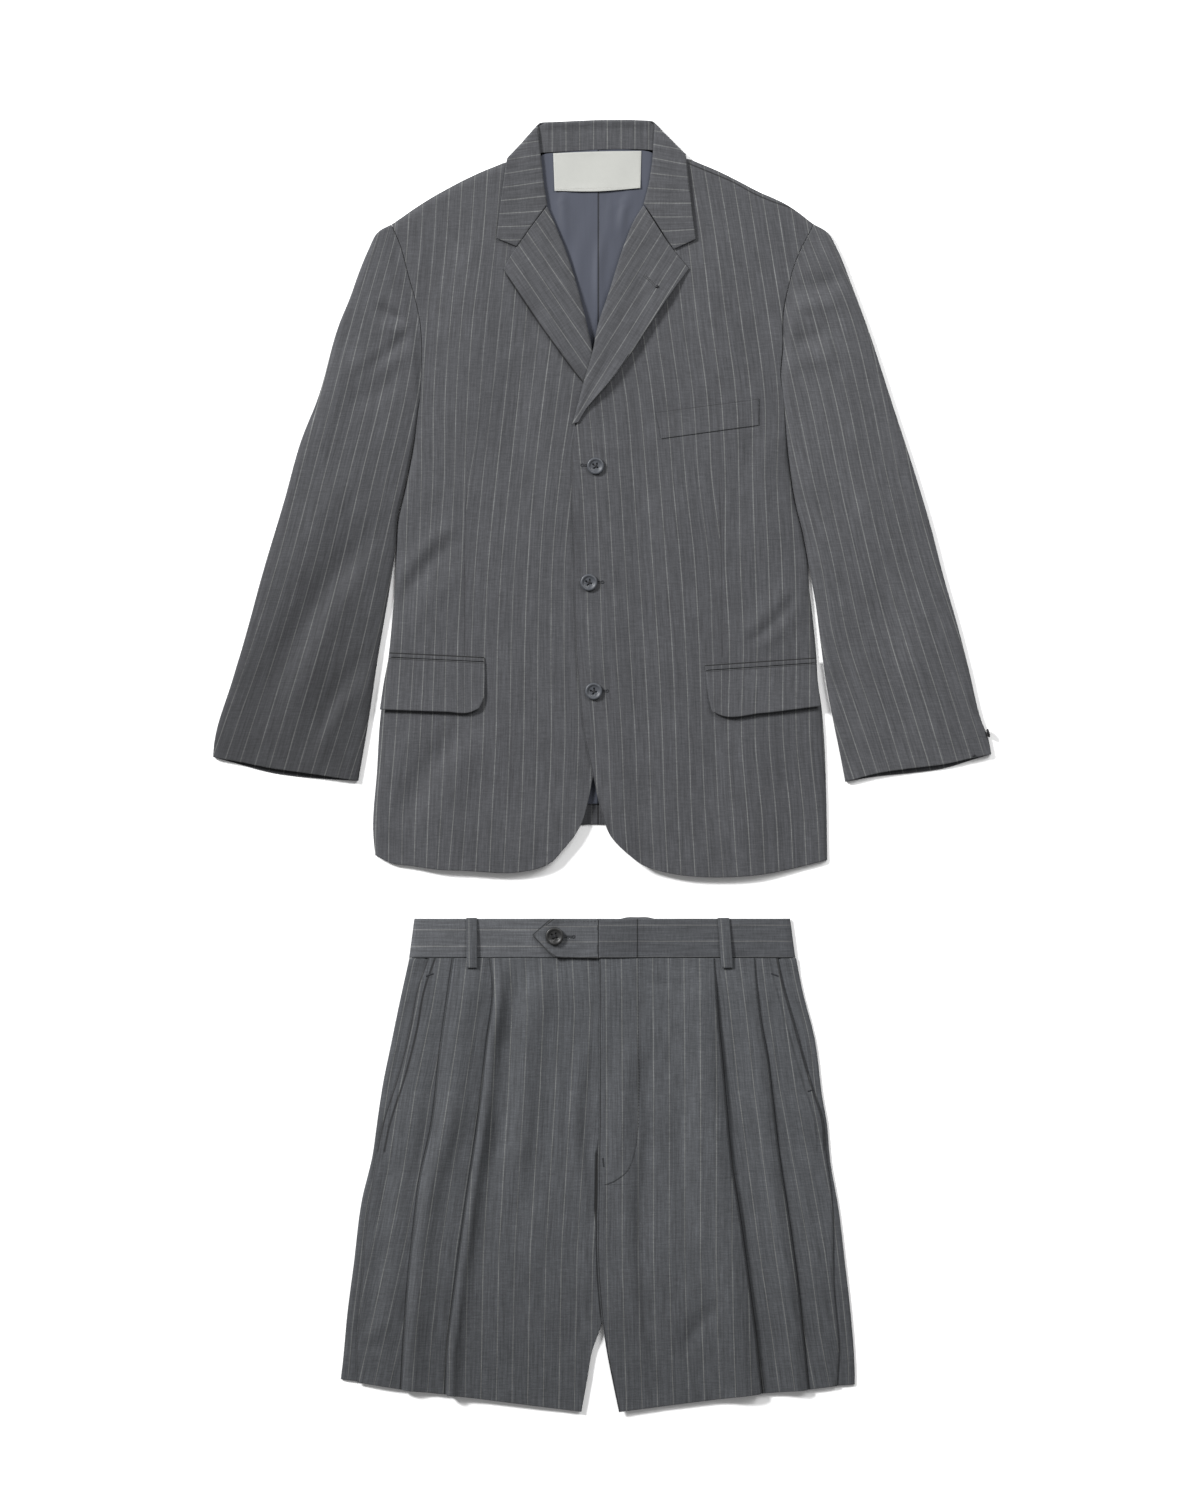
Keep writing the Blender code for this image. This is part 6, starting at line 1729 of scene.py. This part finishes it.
def buttonhole(threads, x, down, long, angle, face, top, eye=1):
    """A worked buttonhole: close stitches round a slit, with a round eye at the end nearer the edge."""
    ahead = np.array([math.cos(angle), math.sin(angle)])
    aside = np.array([-ahead[1], ahead[0]])
    count = int(long / STITCH_STEP)
    for sign in (-1, 1):
        for k in range(count + 1):
            root = np.array([x, down]) + ahead * (-long / 2 + long * k / count) + aside * sign * 0.22
            tip = root + aside * sign * 1.25
            stitch(threads, [root + (tip - root) * f for f in (0, 0.3, 0.7, 1)], HOLE_STITCH, face, top)
    centre = np.array([x, down]) + ahead * eye * (long / 2 + 0.5)
    for a in circle(17):
        rim = np.array([math.cos(a), math.sin(a)])
        stitch(threads, [centre + rim * r for r in (0.7, 1.1, 1.7, 2.1)], HOLE_STITCH, face, top)


def dot(threads, x, down, face, top, radius):
    """A small round knot of thread. In the lapel's buttonhole it is a dark knot that paints the shade in the deep eye.
    """
    z = float(face(x, down)) + 0.15
    threads.add([(x - 1.2, top - down, z - 0.5), (x - 1.0, top - down, z), (x + 1.0, top - down, z),
                 (x + 1.2, top - down, z - 0.5)], radius, 10)


def tack(threads, x, down, long, angle, face):
    """A bar tack: close stitches over a short line."""
    ahead = np.array([math.cos(angle), math.sin(angle)])
    aside = np.array([-ahead[1], ahead[0]])
    for s in np.arange(-long / 2, long / 2, STITCH_STEP):
        middle = np.array([x, down]) + ahead * s
        stitch(threads, [middle + aside * f for f in (-0.9, -0.5, 0.5, 0.9)], TACK_STITCH, face, SHORTS_TOP)


# Columns of a buttonhole: x, down, length, angle
LAPEL_HOLE = (50.5, 170.5, 16.0, 0.75)
TAB_HOLE = (-35.0, 20.5, 9.0, 0.0)
LAPEL_DOT = (57.2, 177.0)
CUFF_DOT = (389.5, 668.2)
CUFF_STITCHES = [(380.5, 651.5), (392, 649.0), (399.5, 647.6)]
TAB_STITCHES = [(-6, 4.2), (-50.5, 3.8), (-68.6, 19.2), (-48.6, 39.4), (-6, 40.6)]
# The cuff button, out of the sleeve's rim, and the waist button, clear of the bent tab
CUFF_BUTTON_OUT = 1.5
CUFF_BUTTON_THICK = 2.2
CUFF_BUTTON_LIFT = 0.6
WAIST_BUTTON_UP = 1.2
WAIST_BUTTON_LIFT = 1.3
WAIST_BUTTON_SHARE = 0.95


def details():
    jacket_work, shorts_work, knots, label_work, lapel_work = [Threads() for _ in range(5)]

    def front_face(x, down):
        return front_height_l(x, down) + SUITING / 2

    for number, (x, down) in enumerate(FRONT_BUTTONS, 1):
        z = float(front_face(np.array(float(x)), np.array(float(down)))) + LAYER_GAP
        place_button(f"front_button_{number}", x, down, z, JACKET_TOP, JACKET_BUTTON, button_plastic,
                     knots, 0.2 * number)
        side, angle = (-1, 0.05) if number == 1 else (1, 0.0)
        buttonhole(jacket_work, x + side * 5.0, down - 0.6, 17.0, angle, front_face, JACKET_TOP, side)
    obj = button_mesh("cuff_button_made", CUFF_BUTTON, CUFF_BUTTON_THICK, dark_plastic)
    x, down = CUFF_BUTTON_AT
    obj.location = ((x + CUFF_BUTTON_OUT) * MM, (JACKET_TOP - down) * MM, (CUFF_BUTTON / 2 + CUFF_BUTTON_LIFT) * MM)
    obj.rotation_euler = (0, math.radians(90), math.radians(CUFF_BUTTON_LEAN))
    stand_for(obj, "cuff_button")
    x, down = TAB_BUTTON_AT
    place_button("waist_button", x, down - WAIST_BUTTON_UP, TAB_FACE + LAYER_GAP + WAIST_BUTTON_LIFT, SHORTS_TOP,
                 SHORTS_BUTTON * WAIST_BUTTON_SHARE, horn_plastic, knots, 0.3)
    buttonhole(shorts_work, *TAB_HOLE, lambda x, down: np.full(np.shape(x), TAB_FACE + 0.3), SHORTS_TOP)
    lapel_face = face_of("lapel_left_cloth")
    buttonhole(lapel_work, *LAPEL_HOLE, lapel_face, JACKET_TOP)
    # Painted shade: a dark knot in the eye of the lapel's buttonhole
    dot(knots, *LAPEL_DOT, lapel_face, JACKET_TOP, 1.5)
    leg_r, leg_l = face_of("shorts_front_right_cloth"), face_of("shorts_front_left_cloth")
    shorts_work.row(FLY_STITCH[::6], leg_l, SHORTS_TOP, 2.2, 1.0, 0.22)
    # Columns: x, down, length, angle, leg
    for row in ((-181.0, 60.5, 8.0, -0.35, leg_r), (181.0, 60.5, 8.0, 0.35, leg_l), (218.0, 182.0, 5.0, -0.3, leg_l),
                (1.0, 257.0, 9.0, 1.45, leg_l)):
        tack(shorts_work, *row)
    sleeve_l = face_of("sleeve_left_cloth")
    jacket_work.row(CUFF_STITCHES, sleeve_l, JACKET_TOP, 2.0, 0.5, 0.2)
    dot(knots, *CUFF_DOT, sleeve_l, JACKET_TOP, 1.3)
    shorts_work.row(TAB_STITCHES, lambda x, down: TAB_FACE + 0.12 + 0 * x, SHORTS_TOP)
    corners = np.array(LABEL, float)
    centre = corners.mean(0)
    ring = [centre + (c - centre) * np.array([0.965, 0.92]) for c in np.concatenate([corners, corners[:1]])]

    def label_face(x, down):
        return label_middle(np.clip((x + 51.0) / 92.0, 0, 1), np.clip((down - 37.0) / 38.0, 0, 1)) + LABEL_WALL / 2

    label_work.row(ring, label_face, JACKET_TOP, 1.7, 0.9, 0.13)
    jacket_work.object("jacket_stitches", jacket_thread, "suiting")
    lapel_work.object("lapel_stitches", lapel_thread, "suiting")
    shorts_work.object("shorts_stitches", shorts_thread, "shorts_suiting")
    knots.object("button_threads", button_thread, "jacket_button")
    label_work.object("label_stitches", label_thread, "label")


jacket()
shorts()
details()

# --- the face areas of the noted sheets, read and not used further ---


for obj, rests_on in declared:
    areas = np.zeros(len(obj.data.polygons))
    obj.data.polygons.foreach_get("area", areas)

# --- floor, light and camera ---

floor_tree = Tree("pale_floor")
parts = floor_tree.split(floor_tree.add("TexCoord", out=3))
paper = floor_tree.noise(*[floor_tree.math("MULTIPLY", s, 60.0) for s in parts], detail=3.0)
floor_tree.put(floor_tree.shader.inputs["Base Color"],
               floor_tree.mix(paper, (0.93, 0.93, 0.93, 1), (0.95, 0.95, 0.95, 1)))
floor_tree.put(floor_tree.shader.inputs["Roughness"], 0.9)
floor_tree.put(floor_tree.shader.inputs["Specular IOR Level"], 0.1)
FLOOR_REACH = 9.0
FLOOR_DROP = 0.0002
floor_mesh = bpy.data.meshes.new("floor")
floor_mesh.from_pydata([(sx * FLOOR_REACH, sy * FLOOR_REACH, 0) for sx, sy in ((-1, -1), (1, -1), (1, 1), (-1, 1))], [],
                       [(0, 1, 2, 3)])
floor_mesh.materials.append(floor_tree.material)
floor = placed("floor", floor_mesh)
floor.location.z = -FLOOR_DROP


def area_light(name, spot, size, power):
    """A square light that faces the middle of the set."""
    data = bpy.data.lights.new(name, "AREA")
    data.shape = "SQUARE"
    data.size = size
    data.energy = power
    obj = placed(name, data)
    obj.location = spot
    obj.rotation_euler = (-Vector(spot)).to_track_quat("-Z", "Y").to_euler()


area_light("key", (-4.6, 3.3, 3.6), 1.4, 830.0)
area_light("fill", (1.7, 2.2, 2.4), 2.0, 105.0)
world = bpy.data.worlds.new("studio")
bpy.context.scene.world = world
world.use_nodes = True
background = world.node_tree.nodes["Background"]
background.inputs[0].default_value = (1.0, 1.0, 1.0, 1)
background.inputs[1].default_value = 0.32

camera = bpy.data.cameras.new("camera")
camera.lens = 100.0
camera.sensor_width = 36.0
camera.sensor_fit = "AUTO"
camera.clip_end = 50.0
eye = placed("camera", camera)
eye.location = (-0.00236, 0.0164, 4.375)
bpy.context.scene.camera = eye
bpy.context.scene.view_settings.view_transform = "Standard"
bpy.context.scene.view_settings.look = "None"
